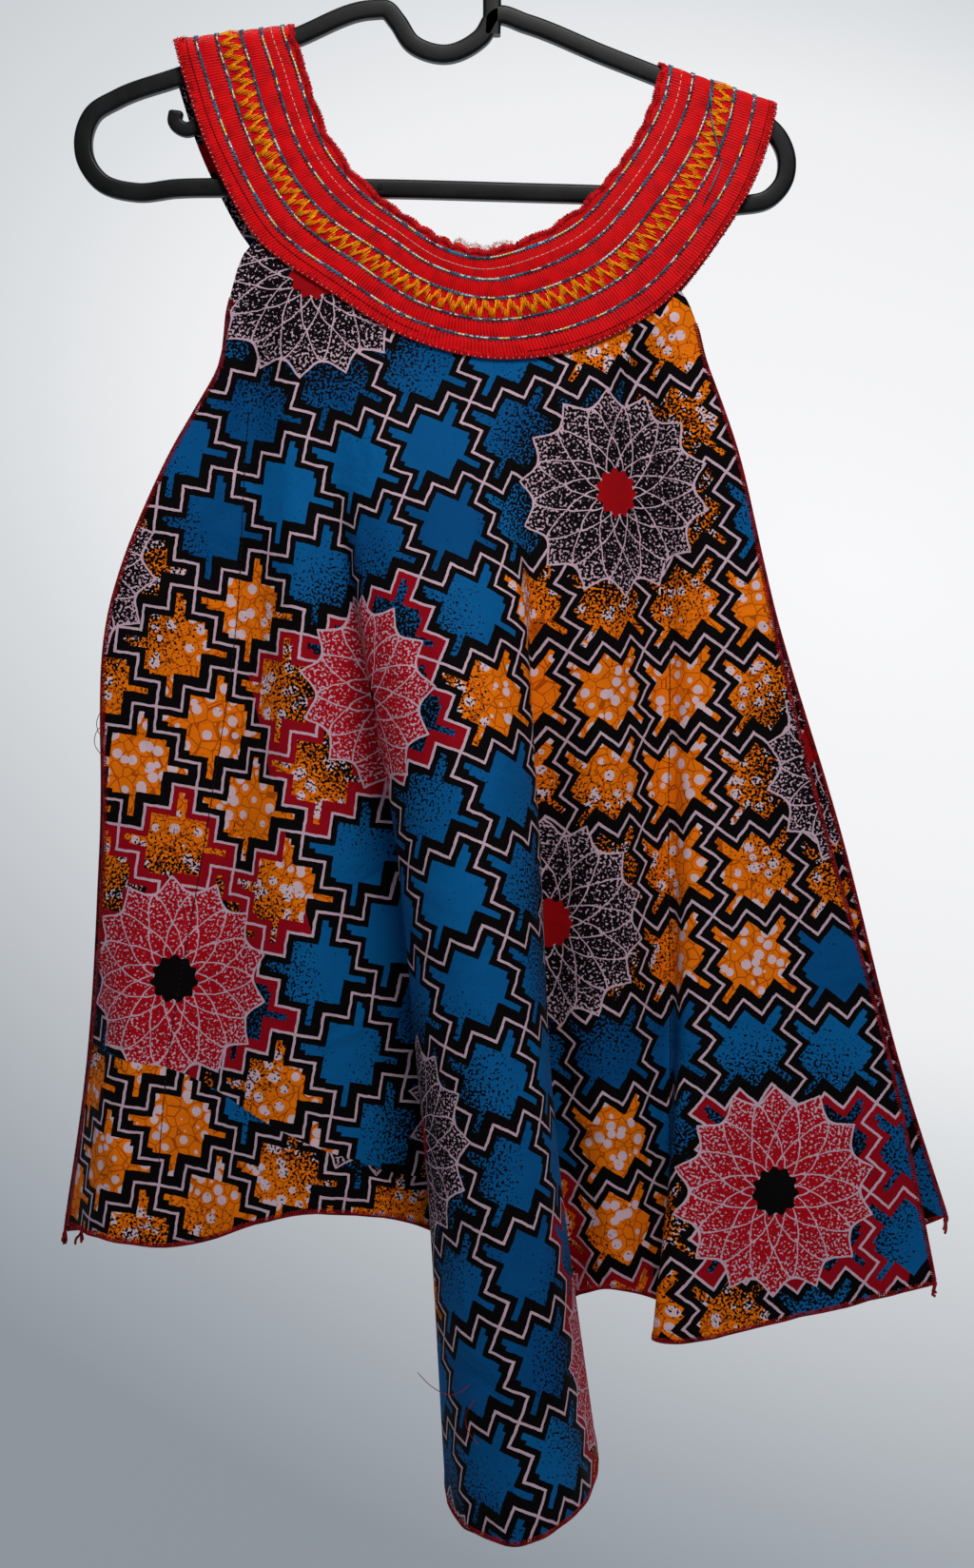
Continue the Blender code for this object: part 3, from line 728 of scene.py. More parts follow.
def lozenges(add, cloth):
    """The print's lozenges: a point's place in cells, its lozenge's middle, and where the
    outlines, the shadows and the orange lozenges are."""
    turned = add(TURN, {"Vector": cloth, "Angle": GRAIN_TURN}, rotation_type="Z_AXIS")
    cells = add(VECTOR, {0: turned, "Scale": 1 / CELL}, operation="SCALE")
    group = lozenge_group()
    middle = add("ShaderNodeGroup", {}, node_tree=group)
    fill(middle.node, {"Cells": cells})
    line, shade, thin = OUTLINE / CELL, SHADOW / CELL, EDGE_BLACK / CELL
    borders = []
    for shifts in (((line, line), (line, -line), (-line, line), (-line, -line)),
                   ((shade, -shade), (thin, thin), (-thin, -thin), (-thin, thin))):
        border = 0.0
        for over, up in shifts:
            moved = add(VECTOR, (cells, (over, up, 0.0)), operation="ADD")
            other = add("ShaderNodeGroup", {}, node_tree=group)
            fill(other.node, {"Cells": moved})
            away = add(VECTOR, (middle, other), "Value", operation="DISTANCE")
            differs = add(MATH, (away, 0.1), operation="GREATER_THAN")
            border = add(MATH, (border, differs), operation="MAXIMUM")
        borders.append(border)

    # Each lozenge is wholly blue or wholly orange, in broad uneven bands.
    waves = []
    for heading in BAND_HEADINGS:
        wave = add(VECTOR, (middle, heading), "Value", operation="DOT_PRODUCT")
        waves.append(add(MATH, (wave,), operation="SINE"))
    zone = add(MATH, (waves[1], 0.8, waves[0]), operation="MULTIPLY_ADD")
    orange = add(MATH, (zone, ORANGE_ABOVE), operation="GREATER_THAN")
    return cells, middle, *borders, orange


def medallions(add, cloth):
    """The print's medallions, in a half-drop repeat in the cloth's own directions: a point's
    place from the nearest one's middle, how far that is and at what angle, and whether that one
    is crimson."""
    parts = add("ShaderNodeSeparateXYZ", (cloth,))
    across, up = parts, parts.node.outputs["Y"]
    column = add(MATH, (across, 1 / REPEAT_ACROSS), operation="MULTIPLY")
    column = add(MATH, (column,), operation="FLOOR")
    odd = add(MATH, (column, 2.0), operation="FLOORED_MODULO")
    dropped = add(MATH, (odd, REPEAT_DOWN * 0.5, up), operation="MULTIPLY_ADD")
    row = add(MATH, (dropped, 1 / REPEAT_DOWN), operation="MULTIPLY")
    row = add(MATH, (row,), operation="FLOOR")
    local = []
    for number, repeat, place in ((column, REPEAT_ACROSS, across), (row, REPEAT_DOWN, dropped)):
        centre = add(MATH, (number, 0.5), operation="ADD")
        local.append(add(MATH, (centre, -repeat, place), operation="MULTIPLY_ADD"))
    kind = add(MATH, (row, 2.0, column), operation="MULTIPLY_ADD")
    kind = add(MATH, (kind, 3.0), operation="FLOORED_MODULO")
    crimson = add(MATH, (kind, 0.5), operation="LESS_THAN")
    place = add("ShaderNodeCombineXYZ", {"X": local[0], "Y": local[1]})
    radius = add(VECTOR, (place,), "Value", operation="LENGTH")
    angle = add(MATH, (local[1], local[0]), operation="ARCTAN2")
    return place, radius, angle, crimson


def petals(add, radius, angle):
    """A medallion's lines: its petals, in rings that widen outwards, each half a petal on from
    the last; its inside; its rim; and its heart with a jagged edge."""
    ring_scale = PETALS / (2 * math.pi)
    growth = add(MATH, (radius, 1 / MEDALLION_HEART), operation="MULTIPLY")
    growth = add(MATH, (growth, math.e), operation="LOGARITHM")
    rings = add(MATH, (growth, ring_scale), operation="MULTIPLY")
    ring = add(MATH, (rings,), operation="FLOOR")
    in_ring = add(MATH, (rings,), operation="FRACT")
    turn = add(MATH, (angle, ring_scale), operation="MULTIPLY")
    turn = add(MATH, (ring, 0.5, turn), operation="MULTIPLY_ADD")
    petal = add(MATH, (turn,), operation="FRACT")
    petal = add(MATH, (petal, 2.0, -1.0), operation="MULTIPLY_ADD")
    petal = add(MATH, (petal,), operation="ABSOLUTE")
    point = add(MATH, (petal, PETAL_POINT), operation="POWER")
    tip = add(MATH, (1.0, point), operation="SUBTRACT")
    gap = add(MATH, (in_ring, tip), operation="SUBTRACT")
    gap = add(MATH, (gap,), operation="ABSOLUTE")
    share = add(MATH, (PETAL_LINE * ring_scale, radius), operation="DIVIDE")
    line = add(MATH, (gap, share), operation="LESS_THAN")
    reach = add(MATH, (angle, PETALS / 2), operation="MULTIPLY")
    reach = add(MATH, (reach,), operation="SINE")
    reach = add(MATH, (reach,), operation="ABSOLUTE")
    reach = add(MATH, (reach, -PETAL_NOTCH, MEDALLION + PETAL_REACH), operation="MULTIPLY_ADD")
    beyond = add(MATH, (radius, reach), operation="SUBTRACT")
    inside = add(MATH, (beyond, 0.0), operation="LESS_THAN")
    rim = add(MATH, (beyond,), operation="ABSOLUTE")
    rim = add(MATH, (rim, OUTLINE), operation="LESS_THAN")
    jag = add(MATH, (angle, HEART_JAGS), operation="MULTIPLY")
    jag = add(MATH, (jag,), operation="SINE")
    edge = add(MATH, (jag, HEART_JAG, MEDALLION_HEART), operation="MULTIPLY_ADD")
    heart = add(MATH, (radius, edge), operation="LESS_THAN")
    return line, inside, rim, heart


def crimson_round(add, cells, middle, place, crimson):
    """Where a whole lozenge lies near a crimson medallion, so that its shadow is crimson too."""
    inward = add(VECTOR, (cells, middle), operation="SUBTRACT")
    inward = add(TURN, {"Vector": inward, "Angle": -GRAIN_TURN}, rotation_type="Z_AXIS")
    lozenge = add(VECTOR, (inward, (-CELL, -CELL, 0.0), place),
                  operation="MULTIPLY_ADD")
    close = add(VECTOR, (lozenge,), "Value", operation="LENGTH")
    close = add(MATH, (close, MEDALLION + CRIMSON_REACH), operation="LESS_THAN")
    return add(MATH, (close, crimson), operation="MULTIPLY")


def print_colour(add, flat):
    """The print, worked out on the flat cloth in millimetres: stepped lozenges in blue or in
    bubbled orange, each with a lilac outline and a black shadow, and round medallions of pointed
    petals between them."""
    # The screens' edges wander by about half a millimetre.
    wander = add(NOISE, {"Vector": flat, "Scale": 0.16, "Detail": 2.0}, "Color")
    wander = add(VECTOR, (wander, (1.5, 1.5, 0.0), (-0.75, -0.75, 0.0)),
                 operation="MULTIPLY_ADD")
    cloth = add(VECTOR, (flat, wander), operation="ADD")
    cells, middle, outline, shadow, orange_zone = lozenges(add, cloth)
    place, radius, angle, crimson = medallions(add, cloth)
    petal_line, in_medallion, rim, heart = petals(add, radius, angle)

    # Specks of about 1.2 mm, drawn a little coarser than the real ones so that they show.
    speck = add(NOISE, {"Vector": flat, "Scale": 0.62, "Detail": 1.0})
    thins = add(RANGE, {"Value": radius, "From Min": MEDALLION - 4, "From Max": MEDALLION + 56,
                        "To Min": 0.60, "To Max": 0.26})
    dark_speck = add(MATH, (speck, thins), operation="LESS_THAN")
    thickens = add(RANGE, {"Value": radius, "From Min": 14.0, "From Max": MEDALLION,
                           "To Min": 0.66, "To Max": 0.55})
    pale_speck = add(MATH, (speck, thickens), operation="GREATER_THAN")
    bubble = add("ShaderNodeTexVoronoi", {"Vector": cloth, "Scale": 0.13, "Randomness": 0.9})
    bubble = add(MATH, (bubble, 0.4), operation="LESS_THAN")
    crack = add("ShaderNodeTexVoronoi", {"Vector": cloth, "Scale": 0.13},
                feature="DISTANCE_TO_EDGE")
    crack = add(MATH, (crack, 0.035), operation="LESS_THAN")

    lilac, black = linear("#cfb0c0"), linear("#090607")
    tint = add("ShaderNodeTexWhiteNoise", {"Vector": middle}, "Value")
    blue = add(MIX, {0: tint, 6: linear("#044a82"), 7: linear("#08619f")}, **RGBA)
    near = crimson_round(add, cells, middle, place, crimson)
    shade = add(MIX, {0: near, 6: black, 7: linear("#98091a")}, **RGBA)
    ground = add(MIX, {0: crimson, 6: linear("#0f090c"), 7: linear("#b00a1a")}, **RGBA)
    centre = add(MIX, {0: crimson, 6: linear("#a00a12"), 7: linear("#0a0708")}, **RGBA)

    # Each part is a colour with others printed over it, each where its mask is 1.
    orange = linear("#f57a0a")
    for mask, over in ((crack, linear("#b94f07")), (bubble, linear("#e2c3cc"))):
        orange = add(MIX, {0: mask, 6: orange, 7: over}, **RGBA)
    for mask, over in ((pale_speck, lilac), (petal_line, lilac), (heart, centre)):
        ground = add(MIX, {0: mask, 6: ground, 7: over}, **RGBA)
    colour = blue
    for mask, over in ((orange_zone, orange), (dark_speck, black), (shadow, shade),
                       (outline, lilac), (in_medallion, ground), (rim, lilac)):
        colour = add(MIX, {0: mask, 6: colour, 7: over}, **RGBA)

    # The dye lies a little unevenly over a hand's breadth.
    wash = add(NOISE, {"Vector": flat, "Scale": 0.02, "Detail": 3.0})
    wash = add(RANGE, {"Value": wash, "To Min": 0.86, "To Max": 1.08})
    return add(MIX, {0: 1.0, 6: colour, 7: wash}, blend_type="MULTIPLY", **RGBA)


def print_material():
    """Wax-printed plain-weave cotton: crisp edges, since the dye was held back by wax, small
    breaks and bubbles where the wax cracked, and a dull face with a faint sheen off the fibres."""
    material, add, shader = new_material("wax_printed_cotton", {
        "Sheen Weight": 0.01, "Sheen Roughness": 0.45, "Specular IOR Level": 0.05})
    uv = add("ShaderNodeUVMap", uv_map="cloth")
    flat = add(VECTOR, {0: uv, "Scale": 1 / MM}, operation="SCALE")
    colour = print_colour(add, flat)
    # Plain weave: threads 0.35 mm apart in the real cloth, drawn 1.1 mm apart so that they show.
    weave = {"Vector": flat, "Scale": WAVE_SCALE / 1.1, "Distortion": 0.6}
    warp = add(WAVE, weave, "Fac", bands_direction="X")
    weft = add(WAVE, weave, "Fac", bands_direction="Y")
    thread = add(MATH, (warp, weft), operation="MULTIPLY")
    slub = add(NOISE, {"Vector": flat, "Scale": 0.09, "Detail": 4.0})
    relief = add(MATH, (slub, 2.5, thread), operation="MULTIPLY_ADD")
    # Soft rumples a few centimetres long, under the weave.
    rumple = add(NOISE, {"Vector": flat, "Scale": 0.022, "Detail": 3.0, "Distortion": 0.8})
    bump = add(BUMP, {"Height": rumple, "Strength": 0.6, "Distance": 0.007})
    bump = add(BUMP, {"Height": relief, "Strength": 0.35, "Distance": 0.0003, "Normal": bump})
    rough = add(RANGE, {"Value": slub, "To Min": 0.7, "To Max": 0.86})
    fill(shader, {"Base Color": colour, "Normal": bump, "Roughness": rough})
    return material


def yoke_material():
    """Red polyester-cotton sateen, run over with close rows of machine stitching: fine ribs that
    cross the band, with painted shade in their grooves and painted light on their crests, a soft
    shine along them, and a slightly uneven red."""
    material, add, shader = new_material("red_ribbed_sateen", {
        "Sheen Weight": 0.02, "Sheen Roughness": 0.4, "Specular IOR Level": 0.1})
    uv = add("ShaderNodeUVMap", uv_map="cloth")
    flat = add(VECTOR, {0: uv, "Scale": 1 / MM}, operation="SCALE")
    # Ribs about 1 mm apart, drawn 1.5 mm apart so that they show.
    rib = add(WAVE, {"Vector": flat, "Scale": WAVE_SCALE / 1.5, "Distortion": 1.6, "Detail": 2.0,
                     "Detail Scale": 1.2}, "Fac", bands_direction="X")
    blotch = add(NOISE, {"Vector": flat, "Scale": 0.12, "Detail": 4.0})
    # The rib wave darkens the red in the grooves and lightens it on the crests: painted shade and
    # painted light on the ribs. The blotches make the red uneven.
    share = add(MATH, (rib, 0.55, blotch), operation="MULTIPLY_ADD")
    red = add(RAMP, {"Fac": share}, stops=colours((0.28, "#7a020a"), (0.98, "#ee060f")))
    relief = add(MATH, (blotch, 1.2, rib), operation="MULTIPLY_ADD")
    bump = add(BUMP, {"Height": relief, "Strength": 0.6, "Distance": 0.0005})
    rough = add(RANGE, {"Value": blotch, "To Min": 0.42, "To Max": 0.62})
    fill(shader, {"Base Color": red, "Normal": bump, "Roughness": rough})
    return material


def thread_material(name, stops, patch, roughness=0.42):
    """Spun polyester or rayon thread: a tight round yarn with a small shine. Its colour changes
    along the row, over patches of so many millimetres, as it does in a variegated thread."""
    material, add, shader = new_material(name, {"Roughness": roughness,
                                                "Specular IOR Level": 0.1})
    place = add("ShaderNodeTexCoord", out="Object")
    change = add(NOISE, {"Vector": place, "Scale": 1 / (patch * MM), "Detail": 3.0,
                         "Roughness": 0.65})
    colour = add(RAMP, {"Fac": change}, stops=colours(*stops))
    # The yarn's twist, 0.4 mm in the real thread and 0.9 mm here so that it shows.
    twist = add(NOISE, {"Vector": place, "Scale": 1 / (0.9 * MM)})
    bump = add(BUMP, {"Height": twist, "Strength": 0.4, "Distance": 0.0003})
    fill(shader, {"Base Color": colour, "Normal": bump})
    return material


def plastic_material():
    """Injection-moulded polypropylene, black: satin, with a fine moulded grain that breaks up
    the highlights, and a few paler rubs where it has been handled."""
    material, add, shader = new_material("moulded_black_polypropylene",
                                         {"Specular IOR Level": 0.2})
    place = add("ShaderNodeTexCoord", out="Object")
    rub = add(NOISE, {"Vector": place, "Scale": 38.0, "Detail": 6.0, "Roughness": 0.7})
    black = add(RAMP, {"Fac": rub}, stops=colours((0.45, "#08090a"), (0.8, "#15171a")))
    rough = add(RANGE, {"Value": rub, "To Min": 0.3, "To Max": 0.5})
    grain = add(NOISE, {"Vector": place, "Scale": 1600.0, "Detail": 1.0})
    bump = add(BUMP, {"Height": grain, "Strength": 0.12, "Distance": 0.0002})
    fill(shader, {"Base Color": black, "Roughness": rough, "Normal": bump})
    return material


# The pieces


def build_panels():
    """The panels' outer faces, finely, with where their points lie on the flat cloth."""
    grids = {}
    for side, folds, creases in ((-1, FRONT_FOLDS, FRONT_CREASES), (1, BACK_FOLDS, BACK_CREASES)):
        coarse = panel_grid(folds, side)
        grid = filled(np.concatenate([coarse, flattened(coarse)], axis=2), FINER, FINER)
        grid = held_at_seams(grid, folds, side, COLUMNS_PER_FOLD * FINER)
        grids[side] = creased(grid, folds, side, creases)
    return grids


def main_cloth(grids, cloth):
    """The panels and the piece let in below the diagonal seam, thinned to cloth. Each piece is
    cut from its own place in the print."""
    front, back = grids[-1], grids[1].copy()
    first, last = PIECED_ROW * FINER, PIECED_COLUMN * FINER
    keep = np.ones((front.shape[0] - 1, front.shape[1] - 1), bool)
    keep[first:, :last] = False
    piece = front[first:, :last + 1].copy()
    piece[..., 3:5] += PIECE_CUT_AT
    back[..., 3:5] += BACK_CUT_AT
    return (shell("front_panel_cloth", front, SHELL_WALL, -1, cloth, keep),
            shell("front_lower_piece_cloth", piece, SHELL_WALL, -1, cloth),
            shell("back_panel_cloth", back, SHELL_WALL, 1, cloth))


def yoke_grid(side):
    """The yoke's face with its pillows between the rows, its scalloped neck edge and its UVs."""
    inner, outer = [smooth_through(smooth_through(edge, COLUMNS_PER_FOLD), FINER)
                    for edge in yoke_edge_points(side)]
    length = lengths_along((inner + outer) / 2)
    shares = np.linspace(0.0, 1.0, YOKE_FINE_ROWS + 1)
    width = np.linalg.norm(outer - inner, axis=1)
    lump = np.abs(np.sin(np.pi * length / SCALLOP + 1.3 * np.sin(length / 31.0))) ** 0.6
    lump *= 0.75 + 0.25 * np.sin(length / 17.0 + 2.0)
    rows = []
    for share in shares:
        near_neck = max(0.0, 1 - share / 0.06)
        moved = share + near_neck * (0.9 - 2.9 * lump) / width
        place = inner + (outer - inner) * moved[:, None]
        rows.append(np.column_stack([place, length, -share * width]))
    grid = np.array(rows)
    gap = np.abs(shares[:, None] - np.array(YOKE_SEAMS)).min(axis=1) * YOKE_WIDTH
    height = PILLOW * (1 - np.exp(-((gap / 2.2) ** 1.4))) - 0.5 * PILLOW
    pucker = 0.16 * np.sin(length / 2.3 + 1.7 * np.sin(length / 13.0))
    lift = height[:, None] + pucker[None, :] * np.clip(gap / 3.0, 0, 1)[:, None]
    column = np.arange(len(length))
    from_end = np.clip(np.minimum(column, column[::-1]) / 6.0, 0, 1)
    grid[..., :3] += facing(grid[..., :3], side) * (lift * from_end[None, :])[..., None]
    return grid


def row_cords(name, at, run, thread):
    """Cords laid in rows round the yoke, each held down by slanting overcast stitches."""
    cords, stitches = [], []
    pitch, length, radius = STITCHING["row_overcasting"]
    for share in CORD_ROWS:
        def along_row(places):
            return at(share + 0.006 * np.sin(places / 27.0 + share * 40), places)

        place, up, _, _ = along_row(np.arange(0, run, 2.0))
        cords.append((place + up * 0.45)[1:-1])
        place, up, forward, out = along_row(np.arange(2.0, run - 2.0, pitch))
        swing = np.where(np.arange(len(place)) % 2 == 0, 1.0, -1.0)[:, None]
        stitches.append((place + up * 0.75 + out * 0.35, out + swing * forward * 0.48,
                         length + rng.normal(0, 0.2, len(place))))
    threads(name + "_row_cords", cords, CORD_RADIUS, thread["cord"])
    sewn(name + "_row_overcasting", stitches, radius, thread["teal"])


def zigzag_band(name, at, run, thread):
    """Satin stitches side by side across the band, whose middle swings in a zigzag."""
    pitch, length, radius = STITCHING["zigzag_band"]
    places = np.arange(2.0, run - 2.0, pitch)
    places += rng.normal(0, 0.08, len(places))
    phase = places / ZIGZAG_PEAK + 0.35 * np.sin(places / 31.0)
    wave = np.clip(1.5 * (2 * np.abs(2 * (phase % 1.0) - 1) - 1), -1, 1)
    throw = wave * ZIGZAG_THROW + rng.normal(0, 0.35, len(places))
    place, up, forward, out = at(ZIGZAG_ROW + throw / YOKE_WIDTH, places)
    centre = place + up * (0.55 + 0.1 * rng.random((len(places), 1)))
    lean = 0.2 * np.sin(places / 43.0)[:, None]
    way = out + forward * (lean + rng.normal(0, 0.05, lean.shape))
    sewn(name + "_zigzag_band", [(centre, way, length + rng.normal(0, 0.7, len(places)))], radius,
         thread["orange"])


def yoke_edges(name, at, run, thread):
    """The running stitch near the neck, the overcast edges and the dots inside the outer one."""
    pitch, length, radius = STITCHING["running_stitch"]
    place, up, forward, _ = at(RUNNING_ROW, np.arange(3.0, run - 3.0, pitch))
    sewn(name + "_running_stitch", [(place + up * 0.2, forward, length)], radius, thread["pink"])
    pitch, length, radius = STITCHING["bound_edges"]
    stitches = []
    for share, over in ((0.0, 1.2), (1.0, -1.4)):
        place, up, forward, out = at(share, np.arange(1.0, run - 1.0, pitch))
        way = out + forward * rng.normal(0.12, 0.12, (len(place), 1))
        stitches.append((place + out * over + up * 0.15, way,
                         length + rng.normal(0, 0.35, len(place))))
    sewn(name + "_bound_edges", stitches, radius, thread["red"])
    pitch, length, radius = STITCHING["edge_dots"]
    place, up, _, out = at(1.0, np.arange(2.0, run - 2.0, pitch))
    sewn(name + "_edge_dots", [(place - out * 0.6 + up * 0.35, out, length)], radius,
         thread["pink"])


def build_yoke(side, name, red, thread):
    """One yoke with its rows of cord, its zigzag band and its bound edges."""
    grid = yoke_grid(side)
    yoke = shell(name + "_cloth", grid, YOKE_WALL * 0.8, side, red)
    points = grid[..., :3]
    fields = (points, facing(points, side), unit(np.gradient(points, axis=1)),
              unit(np.gradient(points, axis=0)))
    length, columns = grid[0, :, 3], np.arange(grid.shape[1], dtype=float)
    run = length[-1]

    def at(share, places):
        """Points, normals, and directions along and across, at places along the yoke."""
        column = np.interp(places, length, columns)
        row = np.broadcast_to(np.asarray(share, float) * YOKE_FINE_ROWS, column.shape)
        return [sampled(field, row, column) for field in fields]

    row_cords(name, at, run, thread)
    zigzag_band(name, at, run, thread)
    yoke_edges(name, at, run, thread)
    if side < 0:
        finish_front_yoke(at, run, thread)
    return yoke


def finish_front_yoke(at, run, thread):
    """What only the front shows: the dark line inside each armhole's edge, the frayed lace at
    the neck, a loose thread over the right shoulder and the raw end of the left one."""
    stitches = []
    pitch, length, radius = STITCHING["armhole_lines"]
    for start, end, share in ((4.0, 205.0, 0.895), (run - 190.0, run - 4.0, 0.945)):
        places = np.arange(start, end, pitch)
        place, up, forward, _ = at(share + 0.012 * np.sin(places / 24.0), places)
        stitches.append((place + up * 0.22, forward, length))
    sewn("front_yoke_armhole_lines", stitches, radius, thread["dark"])

    count = LACE_THREADS
    places = rng.uniform(LACE_SPAN[0] * run, LACE_SPAN[1] * run, count)
    place, up, forward, out = at(0.0, places)
    over = rng.uniform(-3.4, 1.0, (count, 1))
    way = forward * rng.normal(0, 1, (count, 1)) + out * rng.normal(0, 0.7, (count, 1))
    way += up * rng.normal(0, 0.25, (count, 1))
    centre = place + out * over - up * rng.uniform(0.4, 1.6, (count, 1))
    sewn("neck_lace_fray", [(centre, way, rng.uniform(1.2, 3.4, count))], 0.16, thread["pink"])

    steps = np.linspace(0.0, 1.0, 9)
    share = np.interp(steps, (0, 0.3, 0.6, 1), (0.42, 0.5, 0.7, 0.74))
    place, up, _, _ = at(share, run - 12.0 - 62.0 * steps)
    threads("shoulder_loose_thread", [smooth_through(place + up * 1.5, 4)], 0.4, thread["teal"])

    count = RAW_THREADS
    places = rng.uniform(1.0, 9.0, count)
    place, up, forward, out = at(rng.uniform(0.9, 1.0, count), places)
    way = -forward + out * rng.normal(0, 0.6, (count, 1)) + up * rng.normal(0, 0.3, (count, 1))
    sewn("shoulder_raw_threads",
         [(place + up * 0.4 + out * 0.8, way, rng.uniform(1.5, 4.5, count))], 0.15, thread["red"])


def build_turning(cloth):
    """The back's turned edge past the front yoke's left edge."""
    sections = np.linspace(*ALLOWANCE_SPAN, 4 * COLUMNS_PER_FOLD + 1)
    inside = np.array((0.0, -(YOKE_WALL + SEWN_GAP), 0.0))
    hidden = np.array([on_yoke(1, section, -ALLOWANCE_HIDDEN) for section in sections]) + inside
    shows = np.array([on_yoke(1, section, ALLOWANCE_SHOWS) for section in sections]) + inside
    length = lengths_along(shows) + TURNING_CUT_AT
    width = ALLOWANCE_HIDDEN + ALLOWANCE_SHOWS
    rows = []
    for share in np.linspace(0.0, 1.0, 5):
        place = hidden + (shows - hidden) * share
        rows.append(np.column_stack([place, length, np.full(len(length), -width * share)]))
    return shell("left_armhole_turning_cloth", filled(np.array(rows), 2, 5), SHELL_WALL, 1, cloth)


def free_edges(grid, side):
    """A panel's free edges, down its left side, along its hem and up its right side: points,
    the way in from the edge, and the way out of the cloth's face."""
    points = grid[..., :3]
    normal = facing(points, side)
    start = (ROWS_DOWN[0] + 1) * FINER
    inward, down = np.gradient(points, axis=1), np.gradient(points, axis=0)

    def round_edge(left, hem, right):
        return np.concatenate([left[start:, 0], hem[-1, 1:-1], right[start:, -1][::-1]])

    way = round_edge(inward, -down, -inward)
    return round_edge(points, points, points), unit(way), round_edge(normal, normal, normal)


def overlocked(name, grid, side, thread):
    """Overlock stitches over a panel's free edges, with the looper thread that runs along them."""
    path, way, up = free_edges(grid, side)
    pitch, length, radius = STITCHING["overlock"]
    place, way_in, out = spaced(path, pitch, way, up)
    forward = unit(np.gradient(place, axis=0))
    length = length + rng.normal(0, 0.3, len(place))
    stitches = []
    for lift, lean in ((0.12, 0.3), (-SHELL_WALL - 0.12, -0.3)):
        stitches.append((place + way_in * (length / 2 - 0.6)[:, None] + out * lift,
                         way_in + forward * (lean + rng.normal(0, 0.1, (len(place), 1))), length))
    sewn(name + "_overlock", stitches, radius, thread["edge"])
    place, out = spaced(path, 2.5, up)
    threads(name + "_edge_thread", [place - out * (SHELL_WALL / 2)], EDGE_THREAD_RADIUS,
            thread["edge"])


def seam_stitches(grids, thread):
    """The two rows of dark stitches that join front and back down the sides of the body."""
    stitches = []
    pitch, length, radius = STITCHING["side_seams"]
    for side, folds in ((-1, FRONT_FOLDS), (1, BACK_FOLDS)):
        points = grids[side][..., :3]
        normal = facing(points, side)
        first = (ROWS_DOWN[0] + ROWS_DOWN[1] + 1) * FINER
        for name, reach in SEAM_REACH.items():
            column = list(folds).index(name) * COLUMNS_PER_FOLD * FINER
            last = int(points.shape[0] * reach)
            place, up = spaced(points[first:last, column], pitch, normal[first:last, column])
            forward = np.gradient(place, axis=0)
            way = forward + rng.normal(0, 0.05, forward.shape)
            stitches.append((place + up * 0.12, way, length))
    sewn("side_seam_stitches", stitches, radius, thread["dark"])


def hanger_profile(scale):
    """The bar's section: across the bar, and forward. Its corners are broken and rounded."""
    half, deep = BAR_WIDTH / 2 * scale, BAR_DEPTH / 2 * scale
    quarter = [(half - a * scale, deep - b * scale) for a, b in BAR_CORNER]
    half_turn = quarter + [(-x, y) for x, y in reversed(quarter)]
    return np.array(half_turn + [(-x, -y) for x, y in half_turn])


def bar(path, scale, closed):
    """A moulded bar along a line in the hanger's plane, with rounded ends if it has any."""
    path = np.asarray(path, float)
    sizes = np.ones(len(path))
    if not closed:
        way = unit(path[-1] - path[-2])
        tips = [path[-1] + way * reach * scale for reach, _ in BAR_TIP]
        path = np.concatenate([path, tips])
        sizes = np.concatenate([sizes, [size for _, size in BAR_TIP]])
    ahead = np.roll(path, -1, 0) - np.roll(path, 1, 0) if closed else np.gradient(path, axis=0)
    ahead = unit(ahead)
    side = np.stack([-ahead[:, 1], ahead[:, 0]], axis=1)
    profile = hanger_profile(scale)
    rings = []
    for place, over, size in zip(path, side, sizes):
        flat = place + np.outer(profile[:, 0] * size, over)
        rings.append(np.column_stack([flat[:, 0], -profile[:, 1] * size, flat[:, 1]]))
    return np.concatenate(rings), ring_faces(len(path), len(profile), closed)


def build_hanger(plastic):
    """The hanger: its loop, its stem and hook, two strap hooks, and the mould's round mark."""
    radius = HOOK_INNER_RADIUS + BAR_WIDTH / 2
    angles = np.linspace(0.0, HOOK_TURN, 60)
    arc = np.column_stack([radius * np.cos(angles), radius * np.sin(angles) - HOOK_INNER_RADIUS])
    hook = np.concatenate([smooth_through(STEM, 8), arc])
    bars = [bar(smooth_through(HANGER_LOOP, 12, closed=True), 1.0, True), bar(hook, 1.0, False)]
    for line in (LEFT_STRAP_HOOK, RIGHT_STRAP_HOOK):
        bars.append(bar(smooth_through(line, 8), STRAP_HOOK_SCALE, False))
    turns = np.arange(16) * 2 * np.pi / 16
    mark = [np.column_stack([MARK_PLACE[0] + r * np.cos(turns), np.full(16, y - BAR_DEPTH / 2),
                             MARK_PLACE[1] + r * np.sin(turns)]) for r, y in MARK_RINGS]
    bars.append((np.concatenate(mark), ring_faces(len(mark), 16, False)))
    return new_object("hanger_moulding", *joined(bars), plastic, sharp=40)


def loose_threads(grids, thread):
    """Thread tails at the corners of the hem, and stray ends."""
    def fall(start, *steps):
        return smooth_through(np.cumsum(np.array([start, *steps], float), axis=0), 5)

    front, back = grids[-1][-1, :, :3], grids[1][-1, :, :3]
    tails = []
    for place, drop in ((back[0], 9), (back[4], 8), (front[-1], 7), (back[-1], 9)):
        for _ in range(3):
            sway = rng.normal(0, 0.8, (3, 3))
            sway[:, 2] -= drop / 3
            tails.append(fall(place, *sway))
    threads("corner_thread_tails", tails, 0.8, thread["edge"])
    threads("stray_threads", [fall(*steps) for steps in STRAY_THREADS], 0.22, thread["edge"],
            sides=5)


